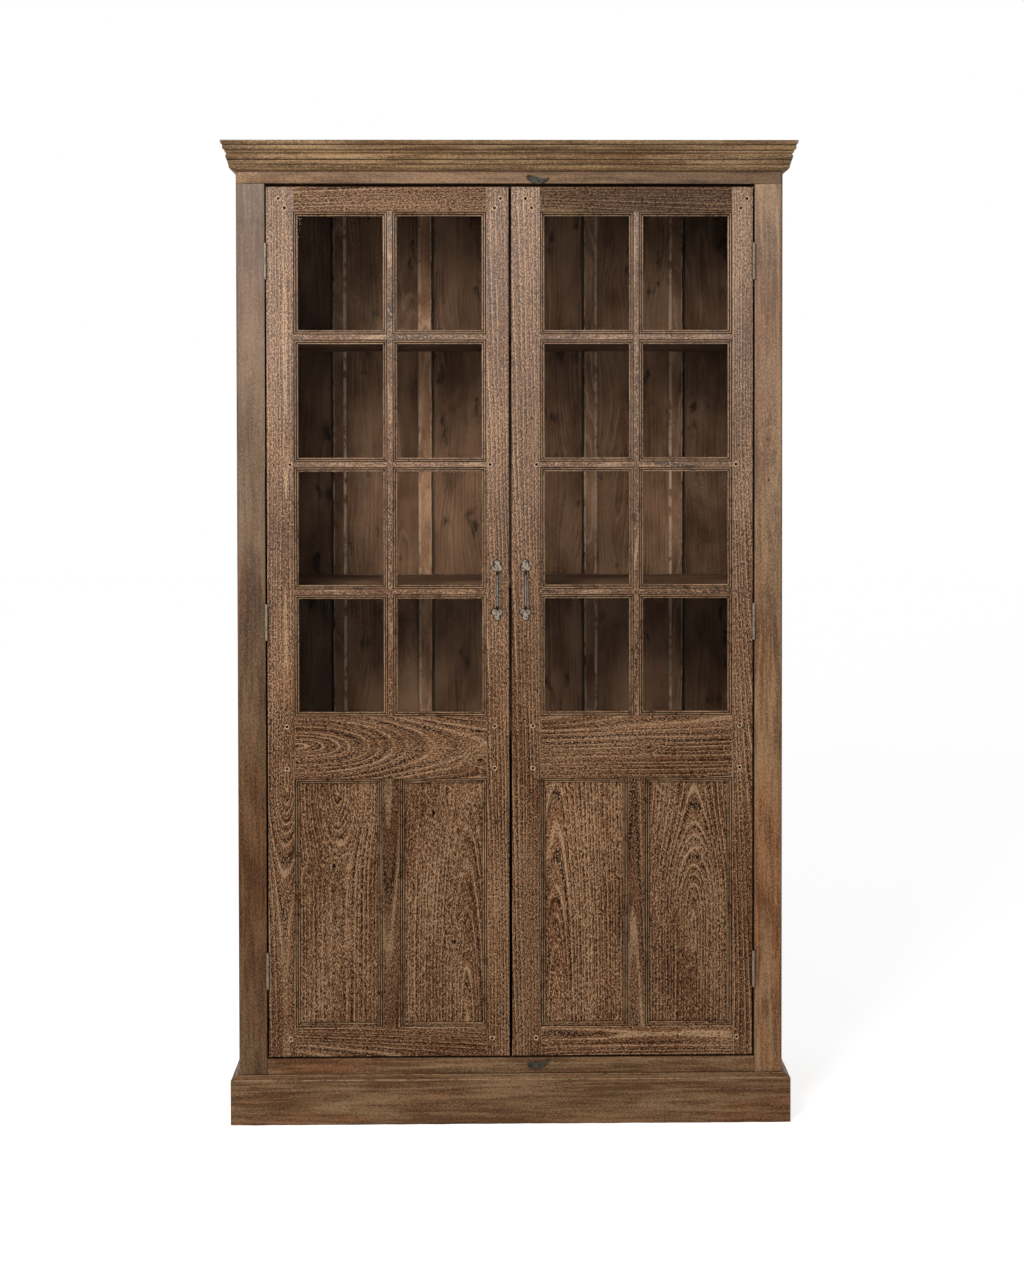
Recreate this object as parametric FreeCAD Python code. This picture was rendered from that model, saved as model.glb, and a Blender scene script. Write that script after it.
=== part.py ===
import FreeCAD, Part
import math
import os

# Sizes are in millimetres. X runs to the right, Y to the back and Z up.
# The origin lies on the floor under the middle of the cabinet's bounding box.

# Carcass
body_width = 1160.0
body_depth = 420.0
total_height = 2086.0
side_thickness = 22.0
face_thickness = 27.0
post_width = 61.0
post_round = 8.0
post_tenon_length = 30.0
post_tenon_margin = 9.0
frieze_reveal = 26.2
sill_height = 138.0
sill_rail_height = 78.0
sill_tenon_length = 30.0
sill_tenon_margin = 9.0
carcass_tenon_thickness = 9.0
top_thickness = 20.0
floor_thickness = 20.0
floor_lip = 8.0
housing_depth = 8.0
shelf_thickness = 22.0
shelf_play = 0.5
upper_shelf_below_door_top = 308.5
middle_shelf_height = 1138.4
lower_shelf_height = 815.0
shelf_front_setback = 8.0
cleat_size = 20.0
door_stop_depth = 18.0
door_stop_height = 40.0
door_stop_drop = 10.0

# Cornice and plinth, both mitred round the front corners
cornice_height = 62.0
cornice_projection = 28.0
plinth_height = 104.0
plinth_thickness = 16.0
plinth_chamfer_height = 8.0
plinth_chamfer_depth = 10.0

# The cornice's outline: shares of its projection and of its height below the top.
# A pair of pairs is an arc: a place on it, then its end.
cornice_outline = [
    (0.00, 0.000),
    (0.93, 0.000),
    ((0.98, 0.010), (1.00, 0.035)),
    (1.00, 0.090),
    (0.91, 0.150),
    (0.80, 0.150),
    (0.80, 0.172),
    (0.87, 0.172),
    (0.87, 0.275),
    (0.78, 0.325),
    (0.65, 0.325),
    (0.65, 0.347),
    (0.71, 0.347),
    (0.71, 0.395),
    (0.57, 0.430),
    ((0.65, 0.530), (0.57, 0.630)),
    (0.44, 0.630),
    (0.44, 0.652),
    (0.52, 0.652),
    (0.52, 0.765),
    (0.43, 0.800),
    (0.40, 0.800),
    (0.40, 0.825),
    (0.46, 0.825),
    ((0.34, 0.951), (0.00, 1.000)),
]

# Back, made of plain boards beside two framed units with sunk panels
back_thickness = 20.0
back_rebate_width = 10.0
back_play = 0.5
back_bottom = 40.0
back_top_setback = 4.0
back_centre_width = 350.0
back_gap = 3.0
back_unit_width = 232.0
back_stile_width = 33.5
back_stile_round = 9.0
back_rail_height = 80.0
back_panel_thickness = 7.0
back_panel_setback = 9.0
back_groove_depth = 6.0
back_lap_width = 8.0
back_lap_thickness = 8.0

# Doors
side_gap = 3.0
middle_gap = 5.0
top_gap = 6.3
bottom_gap = 3.0
door_thickness = 26.0
left_hinge_stile = 57.5
left_meeting_stile = 48.0
right_meeting_stile = 61.5
right_hinge_stile = 44.0
bottom_rail_height = 61.5
lower_panel_height = 532.7
lock_rail_height = 132.8
top_rail_height = 52.9
muntin_width = 37.0
bar_flat = 11.0
bar_depth = 24.0
pane_rows = 4
pane_columns = 2
door_tenon_thickness = 9.0
door_tenon_length = 38.0
door_tenon_margin = 3.0
muntin_tenon_length = 18.0
muntin_tenon_margin = 4.0
bar_tenon_thickness = 8.0
bar_tenon_length = 14.0
bar_cross_tenon_length = 4.5

# Moulding stuck on the inner edges of the door's frame and bars
moulding_width = 9.5
quirk_width = 1.9
quirk_depth = 2.6
bead_width = 3.1
bead_shoulder = 0.8
bead_crest_depth = 0.6
bead_foot_depth = 2.4
groove_width = 1.6
groove_depth = 4.6
fillet_depth = 3.2
fillet_fall = 0.6
bevel_rim = 2.4
bevel_depth = 5.0
glass_lip_depth = 10.0
panel_lip_depth = 8.0

# Glass, glazing beads and panels
glass_thickness = 3.0
glass_play = 1.0
glazing_bead_width = 8.0
glazing_bead_depth = 9.0
glazing_bead_flat = 2.5
panel_tongue = 6.0
panel_play = 1.5
panel_field_thickness = 6.0
panel_field_play = 3.0

# Pegs through the door's tenons, their places measured from the tenon's shoulder
peg_radius = 3.3
peg_sides = 8
peg_sink = 0.6
peg_back_cover = 4.0
peg_outer_from_shoulder = 31.0
peg_inner_from_shoulder = 18.0
peg_bar_from_shoulder = 8.0
peg_lock_from_shoulder = 16.5
peg_bottom_from_shoulder = 10.5
peg_top_offset = 25.0
peg_pair_pitch = 20.0
peg_lock_inset = 21.5
peg_bottom_offset = 38.0

# Hinges
hinge_height = 77.0
hinge_from_door_top = 157.5
hinge_from_door_bottom = 185.0
middle_hinge_drop = 11.0
knuckle_count = 5
knuckle_radius = 3.0
knuckle_sides = 8
knuckle_gap = 0.3
pin_radius = 1.6
running_clearance = 0.05
leaf_thickness = 1.3
leaf_width = 22.0
leaf_setback = 0.4
barrel_standoff = 0.1

# Pull handles
left_handle_inset = 25.5
right_handle_inset = 29.5
handle_height = 1136.5
handle_foot_span = 84.0
bow_radius = 3.0
bow_sides = 8
bow_bend = 12.0
bow_standoff = 20.0
plate_thickness = 2.6
plate_centre_span = 103.0
tip_lobe_radius = 6.5
tip_lobe_offset = 6.0
side_lobe_radius = 6.1
side_lobe_spread = 5.3
side_lobe_offset = 4.6
waist_radius = 6.0
lobe_sides = 12

# Turn buttons that hold the right door shut, each swinging on a nail
button_right_of_middle = 40.0
upper_button_above_opening = 13.0
lower_button_below_sill = 17.0
button_thickness = 3.0
button_clearance = 0.4
button_eye_radius = 5.2
button_eye_drop = 6.0
button_belly = ((-9.4, -17.0), (-6.2, -29.0))
button_point = ((0.8, -36.8), (11.0, -42.0))
button_hook = ((7.6, -35.6), (4.9, -28.0))
button_hollow = (5.6, -17.0)
button_turned_aside = 75.0
lower_button_lean = 9.0
nail_radius = 1.6
nail_length = 22.0
nail_head_radius = 3.8
nail_head_height = 2.4
nail_point_radius = 1.4
nail_sides = 8

V = FreeCAD.Vector

# How far the middle of a quarter arc lies from each side of its corner, for a radius of one
quarter_arc_cut = 1.0 - 0.5 ** 0.5

# Places worked out from the sizes above
front = cornice_projection - (body_depth + cornice_projection) / 2.0
back = front + body_depth
half_width = body_width / 2.0
post_inner = half_width - post_width
side_inner = half_width - side_thickness
face_back = front + face_thickness
back_face = back - back_thickness
cornice_bottom = total_height - cornice_height
opening_top = cornice_bottom - frieze_reveal
door_bottom = sill_height + bottom_gap
door_top = opening_top - top_gap
door_width = (2.0 * post_inner - 2.0 * side_gap - middle_gap) / 2.0
door_back = front + door_thickness
hinge_axis_x = post_inner - side_gap / 2.0
hinge_axis_y = front - barrel_standoff - knuckle_radius
upper_button_height = opening_top + upper_button_above_opening
lower_button_height = sill_height - lower_button_below_sill
shelf_tops = {
    "upper": door_top - upper_shelf_below_door_top,
    "middle": middle_shelf_height,
    "lower": lower_shelf_height,
}
upper_hinge = door_top - hinge_from_door_top
lower_hinge = door_bottom + hinge_from_door_bottom
middle_hinge = (upper_hinge + lower_hinge) / 2.0 - middle_hinge_drop
hinge_centres = [upper_hinge, middle_hinge, lower_hinge]

panel_bottom = door_bottom + bottom_rail_height
panel_top = panel_bottom + lower_panel_height
glazing_bottom = panel_top + lock_rail_height
glazing_top = door_top - top_rail_height
pane_height = (glazing_top - glazing_bottom - (pane_rows - 1) * bar_flat) / pane_rows


def block(x0, x1, y0, y1, z0, z1):
    """A square-edged piece between two corners."""
    return Part.makeBox(x1 - x0, y1 - y0, z1 - z0, V(x0, y0, z0))


def rod(radius, start, end):
    """A round rod between two points."""
    run = end - start
    return Part.makeCylinder(radius, run.Length, start, run)


def polygon(middle, along, radius, sides):
    """A regular polygon's outline, square to a direction, its corners on a circle."""
    level = V(1.0, 0.0, 0.0)
    upright = V(along).cross(level).normalize()
    corners = []
    for index in range(sides):
        turn = 2.0 * math.pi * (index + 0.5) / sides
        corners.append(middle + level * (radius * math.cos(turn)) + upright * (radius * math.sin(turn)))
    return Part.makePolygon(corners + [corners[0]])


def faceted_rod(radius, start, end, sides):
    """A hand-cut or forged rod between two points, its arrises at the radius."""
    run = end - start
    return Part.Face(polygon(start, run, radius, sides)).extrude(run)


def bore_round(radius, sides):
    """The arris radius of a faceted bore whose flats just touch a round of the radius."""
    return radius / math.cos(math.pi / sides)


def prism(corners, run):
    """A flat polygon carried along a straight run."""
    outline = Part.makePolygon(corners + [corners[0]])
    return Part.Face(outline).extrude(run)


def section(outline, place):
    """A flat face from an outline of straight and arc steps, set in space by place."""
    start = outline[0]
    here = place(*start)
    edges = []
    for step in outline[1:] + [start]:
        if isinstance(step[0], tuple):
            middle = place(*step[0])
            end = place(*step[1])
            edges.append(Part.Arc(here, middle, end).toShape())
        else:
            end = place(*step)
            edges.append(Part.makeLine(here, end))
        here = end
    return Part.Face(Part.Wire(edges))


def joined(core, additions):
    """One solid from a core and the pieces that grow out of it."""
    return core.multiFuse(additions).removeSplitter().Solids[0]


def without(solid, tools):
    """A solid with several cuts taken out of it."""
    for tool in tools:
        solid = solid.cut(tool)
    return solid.removeSplitter().Solids[0]


def mirrored(shape):
    """The same piece on the other side of the cabinet's middle."""
    return shape.mirror(V(0.0, 0.0, 0.0), V(1.0, 0.0, 0.0))


def save(name, solids):
    """Write one node, which is one solid or a group of separate ones."""
    if len(solids) == 1:
        shape = solids[0]
    else:
        shape = Part.makeCompound(solids)
    shape.exportStep("parts/" + name + ".step")
    print(name, len(shape.Solids), round(shape.Volume / 1000.0, 2), "cm3", shape.isValid())


# Cornice and plinth

def surround(outline, reach):
    """Front, left and right pieces of a moulding that is mitred round the front corners.

    The outline is in pairs: how far a point stands out, and its height.
    """
    front_place = lambda out, z: V(-half_width - reach, front - out, z)
    front_run = V(2.0 * (half_width + reach), 0.0, 0.0)
    side_place = lambda out, z: V(-half_width - out, front - reach, z)
    side_run = V(0.0, body_depth + reach, 0.0)
    up = V(0.0, 0.0, total_height)
    corner = V(-half_width, front, 0.0)
    tip = V(-half_width - reach, front - reach, 0.0)
    front_plan = [corner, tip, V(half_width + reach, front - reach, 0.0), V(half_width, front, 0.0)]
    side_plan = [corner, tip, V(-half_width - reach, back, 0.0), V(-half_width, back, 0.0)]
    front_piece = section(outline, front_place).extrude(front_run).common(prism(front_plan, up))
    left_piece = section(outline, side_place).extrude(side_run).common(prism(side_plan, up))
    return front_piece.Solids[0], left_piece.Solids[0], mirrored(left_piece.Solids[0])


def cornice_pair(out, down):
    """A point of the cornice's outline at its real size."""
    return out * cornice_projection, total_height - down * cornice_height


def cornice_pieces():
    outline = []
    for step in cornice_outline:
        if isinstance(step[0], tuple):
            outline.append((cornice_pair(*step[0]), cornice_pair(*step[1])))
        else:
            outline.append(cornice_pair(*step))
    return surround(outline, cornice_projection)


def plinth_pieces():
    shoulder = plinth_height - plinth_chamfer_height
    outline = [
        (0.0, 0.0),
        (plinth_thickness, 0.0),
        (plinth_thickness, shoulder),
        (plinth_thickness - plinth_chamfer_depth, plinth_height),
        (0.0, plinth_height),
    ]
    return surround(outline, plinth_thickness)


# Carcass

def corner_round(z0, z1):
    """What is taken off the left post's outer front arris to round it."""
    square = block(-half_width, -half_width + post_round, front, front + post_round, z0, z1)
    middle = V(-half_width + post_round, front + post_round, z0)
    return square.cut(rod(post_round, middle, middle + V(0.0, 0.0, z1 - z0)))


def carcass_tenon(x0, x1, z0, z1):
    """A tenon in the middle of the face frame's thickness."""
    y0 = front + (face_thickness - carcass_tenon_thickness) / 2.0
    return block(x0, x1, y0, y0 + carcass_tenon_thickness, z0, z1)


def post_tenon():
    x0 = -half_width + post_tenon_margin
    x1 = -post_inner - post_tenon_margin
    return carcass_tenon(x0, x1, opening_top, opening_top + post_tenon_length)


def sill_tenon():
    z0 = sill_height - sill_rail_height + sill_tenon_margin
    z1 = sill_height - sill_tenon_margin
    return carcass_tenon(-post_inner - sill_tenon_length, -post_inner, z0, z1)


def left_post():
    post = block(-half_width, -post_inner, front, face_back, 0.0, opening_top)
    post = without(post, [sill_tenon(), corner_round(plinth_height, opening_top)])
    return joined(post, [post_tenon()])


def nail_hole(height):
    start = V(button_right_of_middle, front, height)
    return faceted_rod(nail_radius, start, start + V(0.0, nail_length, 0.0), nail_sides)


def frieze_rail():
    rail = block(-half_width, half_width, front, face_back, opening_top, total_height)
    arris = corner_round(opening_top, cornice_bottom)
    tenon = post_tenon()
    return without(rail, [arris, mirrored(arris), tenon, mirrored(tenon), nail_hole(upper_button_height)])


def sill_rail():
    rail = block(-post_inner, post_inner, front, face_back, sill_height - sill_rail_height, sill_height)
    tenon = sill_tenon()
    rail = joined(rail, [tenon, mirrored(tenon)])
    return without(rail, [nail_hole(lower_button_height)])


def floor_board():
    reach = side_inner + housing_depth
    z1 = sill_height + floor_lip
    return block(-reach, reach, face_back, back_face, z1 - floor_thickness, z1)


def top_board():
    reach = side_inner + housing_depth
    return block(-reach, reach, face_back, back_face, total_height - top_thickness, total_height)


def left_side():
    side = block(-half_width, -side_inner, face_back, back, 0.0, total_height)
    rebate = block(-side_inner - back_rebate_width, -side_inner, back_face, back, 0.0, total_height)
    return without(side, [rebate, floor_board(), top_board()])


def shelf(name):
    z1 = shelf_tops[name]
    reach = side_inner - shelf_play
    y0 = face_back + shelf_front_setback
    return block(-reach, reach, y0, back_face - shelf_play, z1 - shelf_thickness, z1)


def cleats():
    pieces = []
    for name in shelf_tops:
        z1 = shelf_tops[name] - shelf_thickness
        y0 = face_back + shelf_front_setback
        left = block(-side_inner, -side_inner + cleat_size, y0, back_face, z1 - cleat_size, z1)
        pieces.append(left)
        pieces.append(mirrored(left))
    return pieces


def door_stop():
    z0 = opening_top - door_stop_drop
    return block(-post_inner, post_inner, face_back, face_back + door_stop_depth, z0, z0 + door_stop_height)


# Back

back_top = total_height - back_top_setback
back_run = V(0.0, 0.0, back_top - back_bottom)
unit_inner = back_centre_width / 2.0 + back_gap
unit_outer = unit_inner + back_unit_width
lap_reach = back_gap + back_lap_width


def lapped_edge(x0, x1):
    """What is taken off the rear of a plain board where a framed unit's lap runs behind it."""
    return block(x0, x1, back - back_lap_thickness, back, back_bottom, back_top)


def back_boards():
    centre = block(-unit_inner + back_gap, unit_inner - back_gap, back_face, back, back_bottom, back_top)
    lap = lapped_edge(-unit_inner, -unit_inner + lap_reach)
    centre = without(centre, [lap, mirrored(lap)])
    edge = side_inner + back_rebate_width - back_play
    outer = block(-edge, -unit_outer - back_gap, back_face, back, back_bottom, back_top)
    outer = without(outer, [lapped_edge(-unit_outer - lap_reach, -unit_outer)])
    return [centre, outer, mirrored(outer)]


def back_stile(edge, inward):
    """A stile whose front arris is rounded towards the panel, with a lap behind its neighbour."""
    inner = edge + inward * back_stile_width
    bend = back_stile_round
    cut = bend * quarter_arc_cut
    outline = [
        (edge, back_face),
        (inner - inward * bend, back_face),
        ((inner - inward * cut, back_face + cut), (inner, back_face + bend)),
        (inner, back),
        (edge, back),
    ]
    stile = section(outline, lambda x, y: V(x, y, back_bottom)).extrude(back_run)
    low, high = sorted([edge, edge - inward * lap_reach])
    return joined(stile, [lapped_edge(low, high)])


def unit_panel():
    y0 = back_face + back_panel_setback
    x0 = -unit_outer + back_stile_width - back_groove_depth
    x1 = -unit_inner - back_stile_width + back_groove_depth
    z0 = back_bottom + back_rail_height - back_groove_depth
    z1 = back_top - back_rail_height + back_groove_depth
    return block(x0, x1, y0, y0 + back_panel_thickness, z0, z1)


def unit_stiles():
    panel = unit_panel()
    outer = without(back_stile(-unit_outer, 1.0), [panel])
    inner = without(back_stile(-unit_inner, -1.0), [panel])
    return [outer, inner, mirrored(outer), mirrored(inner)]


def unit_rails():
    x0 = -unit_outer + back_stile_width
    x1 = -unit_inner - back_stile_width
    panel = unit_panel()
    rails = []
    for z0 in (back_bottom, back_top - back_rail_height):
        rail = without(block(x0, x1, back_face, back, z0, z0 + back_rail_height), [panel])
        rails.append(rail)
        rails.append(mirrored(rail))
    return rails


# Doors

class DoorPlan:
    """Where one door's edges, stiles, panes and panels lie, seen from the front."""

    def __init__(self, name, x0, left_stile, right_stile):
        self.name = name
        self.x0 = x0
        self.x1 = x0 + door_width
        self.flat_left = self.x0 + left_stile
        self.flat_right = self.x1 - right_stile
        self.middle = (self.flat_left + self.flat_right) / 2.0
        self.inner_width = self.flat_right - self.flat_left

    def column(self, index):
        """Left and right limits of a column of panes, between the flats of its frame."""
        width = (self.inner_width - (pane_columns - 1) * bar_flat) / pane_columns
        x0 = self.flat_left + index * (width + bar_flat)
        return x0, x0 + width

    def pane(self, column, row):
        """A pane's opening (x0, x1, z0, z1), rows counted from the lowest."""
        x0, x1 = self.column(column)
        z0 = glazing_bottom + row * (pane_height + bar_flat)
        return x0, x1, z0, z0 + pane_height

    def panes(self):
        return [self.pane(column, row) for column in range(pane_columns) for row in range(pane_rows)]

    def panel_openings(self):
        half = muntin_width / 2.0
        left = (self.flat_left, self.middle - half, panel_bottom, panel_top)
        right = (self.middle + half, self.flat_right, panel_bottom, panel_top)
        return [left, right]

    def pegs(self):
        """Where the pegs stand, as (x, z): two at each rail's ends and one at the middle bar's."""
        bar_height = (self.pane(0, 1)[3] + self.pane(0, 2)[2]) / 2.0
        spots = []
        for shoulder, outward in ((self.flat_left, -1.0), (self.flat_right, 1.0)):
            upper = door_top - peg_top_offset
            spots.append((shoulder + outward * peg_outer_from_shoulder, upper))
            spots.append((shoulder + outward * peg_inner_from_shoulder, upper - peg_pair_pitch))
            spots.append((shoulder + outward * peg_bar_from_shoulder, bar_height))
            spots.append((shoulder + outward * peg_lock_from_shoulder, glazing_bottom - peg_lock_inset))
            spots.append((shoulder + outward * peg_lock_from_shoulder, panel_top + peg_lock_inset))
            spots.append((shoulder + outward * peg_bottom_from_shoulder, door_bottom + peg_bottom_offset))
        return spots


def stuck_outline(lip_depth):
    """Section of the moulding: quirk, bead, groove and fillet, as distances from the flat and from the face."""
    bead_end = quirk_width + bead_width
    groove_end = bead_end + groove_width
    return [
        (0.0, 0.0),
        (0.0, quirk_depth),
        (quirk_width, quirk_depth),
        (quirk_width, bead_crest_depth + bead_shoulder),
        (quirk_width + bead_shoulder, bead_crest_depth),
        (bead_end - bead_shoulder, bead_crest_depth + bead_shoulder),
        (bead_end, bead_foot_depth),
        (bead_end, groove_depth),
        (groove_end, groove_depth),
        (groove_end, fillet_depth),
        (moulding_width, fillet_depth + fillet_fall),
        (moulding_width, lip_depth),
        (0.0, lip_depth),
    ]


def bevel_outline():
    """Section of the plain bevel along the top of the bottom rail."""
    return [
        (0.0, 0.0),
        (moulding_width - bevel_rim, bevel_depth),
        (moulding_width, bevel_depth),
        (moulding_width, panel_lip_depth),
        (0.0, panel_lip_depth),
    ]


def rear_lip_outline():
    """Section of the rear wall of a panel's groove."""
    return [
        (0.0, panel_lip_depth + panel_tongue),
        (moulding_width, panel_lip_depth + panel_tongue),
        (moulding_width, door_thickness),
        (0.0, door_thickness),
    ]


def glazing_bead_outline():
    """Section of the bead that holds a pane from behind."""
    near = glass_lip_depth + glass_thickness
    return [
        (0.0, near),
        (glazing_bead_width, near),
        (glazing_bead_width, near + glazing_bead_flat),
        (glazing_bead_flat, near + glazing_bead_depth),
        (0.0, near + glazing_bead_depth),
    ]


def strip(opening, side, outline, width):
    """A length of moulding along one side of an opening, mitred at both ends."""
    x0, x1, z0, z1 = opening
    starts = {"left": (x0, z0), "right": (x1, z0), "bottom": (x0, z0), "top": (x0, z1)}
    ends = {"left": (x0, z1), "right": (x1, z1), "bottom": (x1, z0), "top": (x1, z1)}
    inwards = {"left": (1.0, 0.0), "right": (-1.0, 0.0), "bottom": (0.0, 1.0), "top": (0.0, -1.0)}
    start = V(starts[side][0], front, starts[side][1])
    end = V(ends[side][0], front, ends[side][1])
    inward = V(inwards[side][0], 0.0, inwards[side][1])
    along = (end - start).normalize()
    bar = section(outline, lambda u, v: start + inward * u + V(0.0, v, 0.0)).extrude(end - start)
    corners = [start, end, end + (inward - along) * width, start + (inward + along) * width]
    return bar.common(prism(corners, V(0.0, door_thickness, 0.0))).Solids[0]


def pane_strips(plan, column, row, sides):
    outline = stuck_outline(glass_lip_depth)
    return [strip(plan.pane(column, row), side, outline, moulding_width) for side in sides]


def panel_strips(opening, side):
    face = bevel_outline() if side == "bottom" else stuck_outline(panel_lip_depth)
    return [
        strip(opening, side, face, moulding_width),
        strip(opening, side, rear_lip_outline(), moulding_width),
    ]


def door_tenon(x0, x1, z0, z1, thickness):
    """A tenon in the middle of the door's thickness."""
    y0 = front + (door_thickness - thickness) / 2.0
    return block(x0, x1, y0, y0 + thickness, z0, z1)


def rail_tenons(plan, z0, z1, length, thickness):
    """Both end tenons of a piece that runs from stile to stile."""
    left = door_tenon(plan.flat_left - length, plan.flat_left, z0, z1, thickness)
    right = door_tenon(plan.flat_right, plan.flat_right + length, z0, z1, thickness)
    return [left, right]


def bar_heights():
    """Lower and upper edge of each cross bar's flat."""
    heights = []
    for row in range(1, pane_rows):
        z0 = glazing_bottom + row * (pane_height + bar_flat) - bar_flat
        heights.append((z0, z0 + bar_flat))
    return heights


def all_rail_tenons(plan):
    tenons = []
    for z0, z1 in ((door_bottom, panel_bottom), (panel_top, glazing_bottom), (glazing_top, door_top)):
        low = z0 + door_tenon_margin
        high = z1 - door_tenon_margin
        tenons += rail_tenons(plan, low, high, door_tenon_length, door_tenon_thickness)
    for z0, z1 in bar_heights():
        tenons += rail_tenons(plan, z0, z1, bar_tenon_length, bar_tenon_thickness)
    return tenons


def upright_tenons(plan):
    """Tenons at the top and foot of the upright glazing bar."""
    x0 = plan.middle - bar_flat / 2.0
    x1 = plan.middle + bar_flat / 2.0
    foot = door_tenon(x0, x1, glazing_bottom - bar_tenon_length, glazing_bottom, bar_tenon_thickness)
    head = door_tenon(x0, x1, glazing_top, glazing_top + bar_tenon_length, bar_tenon_thickness)
    return [foot, head]


def muntin_tenons(plan):
    x0 = plan.middle - muntin_width / 2.0 + muntin_tenon_margin
    x1 = plan.middle + muntin_width / 2.0 - muntin_tenon_margin
    foot = door_tenon(x0, x1, panel_bottom - muntin_tenon_length, panel_bottom, door_tenon_thickness)
    head = door_tenon(x0, x1, panel_top, panel_top + muntin_tenon_length, door_tenon_thickness)
    return [foot, head]


def peg_rods(plan, y0):
    """The pegs' rods from y0 to their blind ends inside the door."""
    y1 = door_back - peg_back_cover
    return [faceted_rod(peg_radius, V(x, y0, z), V(x, y1, z), peg_sides) for x, z in plan.pegs()]


def stile(plan, side):
    """The door's left or right stile with the mouldings that it carries."""
    if side == "left":
        core = block(plan.x0, plan.flat_left, front, door_back, door_bottom, door_top)
        column = 0
        panel = plan.panel_openings()[0]
    else:
        core = block(plan.flat_right, plan.x1, front, door_back, door_bottom, door_top)
        column = pane_columns - 1
        panel = plan.panel_openings()[-1]
    strips = panel_strips(panel, side)
    for row in range(pane_rows):
        strips += pane_strips(plan, column, row, [side])
    return without(joined(core, strips), all_rail_tenons(plan) + peg_rods(plan, front))


def door_rail(plan, z0, z1, strips, mortises):
    """A rail from stile to stile with its tenons, mouldings and the mortises of what stands on it."""
    core = block(plan.flat_left, plan.flat_right, front, door_back, z0, z1)
    low = z0 + door_tenon_margin
    high = z1 - door_tenon_margin
    tenons = rail_tenons(plan, low, high, door_tenon_length, door_tenon_thickness)
    return without(joined(core, strips + tenons), mortises + peg_rods(plan, front))


def top_rail(plan):
    strips = []
    for column in range(pane_columns):
        strips += pane_strips(plan, column, pane_rows - 1, ["top"])
    return door_rail(plan, glazing_top, door_top, strips, upright_tenons(plan))


def lock_rail(plan):
    strips = []
    for column in range(pane_columns):
        strips += pane_strips(plan, column, 0, ["bottom"])
    for opening in plan.panel_openings():
        strips += panel_strips(opening, "top")
    return door_rail(plan, panel_top, glazing_bottom, strips, upright_tenons(plan) + muntin_tenons(plan))


def bottom_rail(plan):
    strips = []
    for opening in plan.panel_openings():
        strips += panel_strips(opening, "bottom")
    return door_rail(plan, door_bottom, panel_bottom, strips, muntin_tenons(plan))


def muntin(plan):
    half = muntin_width / 2.0
    core = block(plan.middle - half, plan.middle + half, front, door_back, panel_bottom, panel_top)
    left, right = plan.panel_openings()
    return joined(core, panel_strips(left, "right") + panel_strips(right, "left") + muntin_tenons(plan))


def cross_stubs(plan, z0, z1):
    """Stub tenons of a row of cross bars in the upright bar."""
    x0 = plan.middle - bar_flat / 2.0
    x1 = plan.middle + bar_flat / 2.0
    left = door_tenon(x0, x0 + bar_cross_tenon_length, z0, z1, bar_tenon_thickness)
    right = door_tenon(x1 - bar_cross_tenon_length, x1, z0, z1, bar_tenon_thickness)
    return [left, right]


def upright_bar(plan):
    x0 = plan.middle - bar_flat / 2.0
    x1 = plan.middle + bar_flat / 2.0
    core = block(x0, x1, front, front + bar_depth, glazing_bottom, glazing_top)
    strips = []
    for row in range(pane_rows):
        strips += pane_strips(plan, 0, row, ["right"])
        strips += pane_strips(plan, 1, row, ["left"])
    bar = joined(core, strips + upright_tenons(plan))
    mortises = []
    for z0, z1 in bar_heights():
        mortises += cross_stubs(plan, z0, z1)
    return without(bar, mortises)


def cross_bars(plan):
    bars = []
    for row, (z0, z1) in enumerate(bar_heights()):
        ends = rail_tenons(plan, z0, z1, bar_tenon_length, bar_tenon_thickness)
        stubs = cross_stubs(plan, z0, z1)
        for column in range(pane_columns):
            x0, x1 = plan.column(column)
            core = block(x0, x1, front, front + bar_depth, z0, z1)
            strips = pane_strips(plan, column, row, ["top"])
            strips += pane_strips(plan, column, row + 1, ["bottom"])
            bar = joined(core, strips + [ends[column], stubs[column]])
            bars.append(without(bar, peg_rods(plan, front)))
    return bars


def glass_panes(plan):
    y0 = front + glass_lip_depth
    panes = []
    for x0, x1, z0, z1 in plan.panes():
        pane = block(x0 + glass_play, x1 - glass_play, y0, y0 + glass_thickness, z0 + glass_play, z1 - glass_play)
        panes.append(pane)
    return panes


def glazing_beads(plan):
    outline = glazing_bead_outline()
    beads = []
    for opening in plan.panes():
        for side in ("left", "right", "bottom", "top"):
            beads.append(strip(opening, side, outline, glazing_bead_width))
    return beads


def door_panel(opening):
    """A panel with a thin tongue all round and a thicker field at the rear."""
    x0, x1, z0, z1 = opening
    y0 = front + panel_lip_depth
    y1 = y0 + panel_tongue
    play = panel_play
    tongue = block(x0 + play, x1 - play, y0, y1, z0 + play, z1 - play)
    rim = moulding_width + panel_field_play
    field = block(x0 + rim, x1 - rim, y1, y1 + panel_field_thickness, z0 + rim, z1 - rim)
    return joined(tongue, [field])


# Hinges

def knuckle_spans(height, parity):
    """Lower and upper end of every other knuckle of a hinge."""
    pitch = (hinge_height + knuckle_gap) / knuckle_count
    foot = height - hinge_height / 2.0
    spans = []
    for index in range(parity, knuckle_count, 2):
        z0 = foot + index * pitch
        spans.append((z0, z0 + pitch - knuckle_gap))
    return spans


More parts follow.
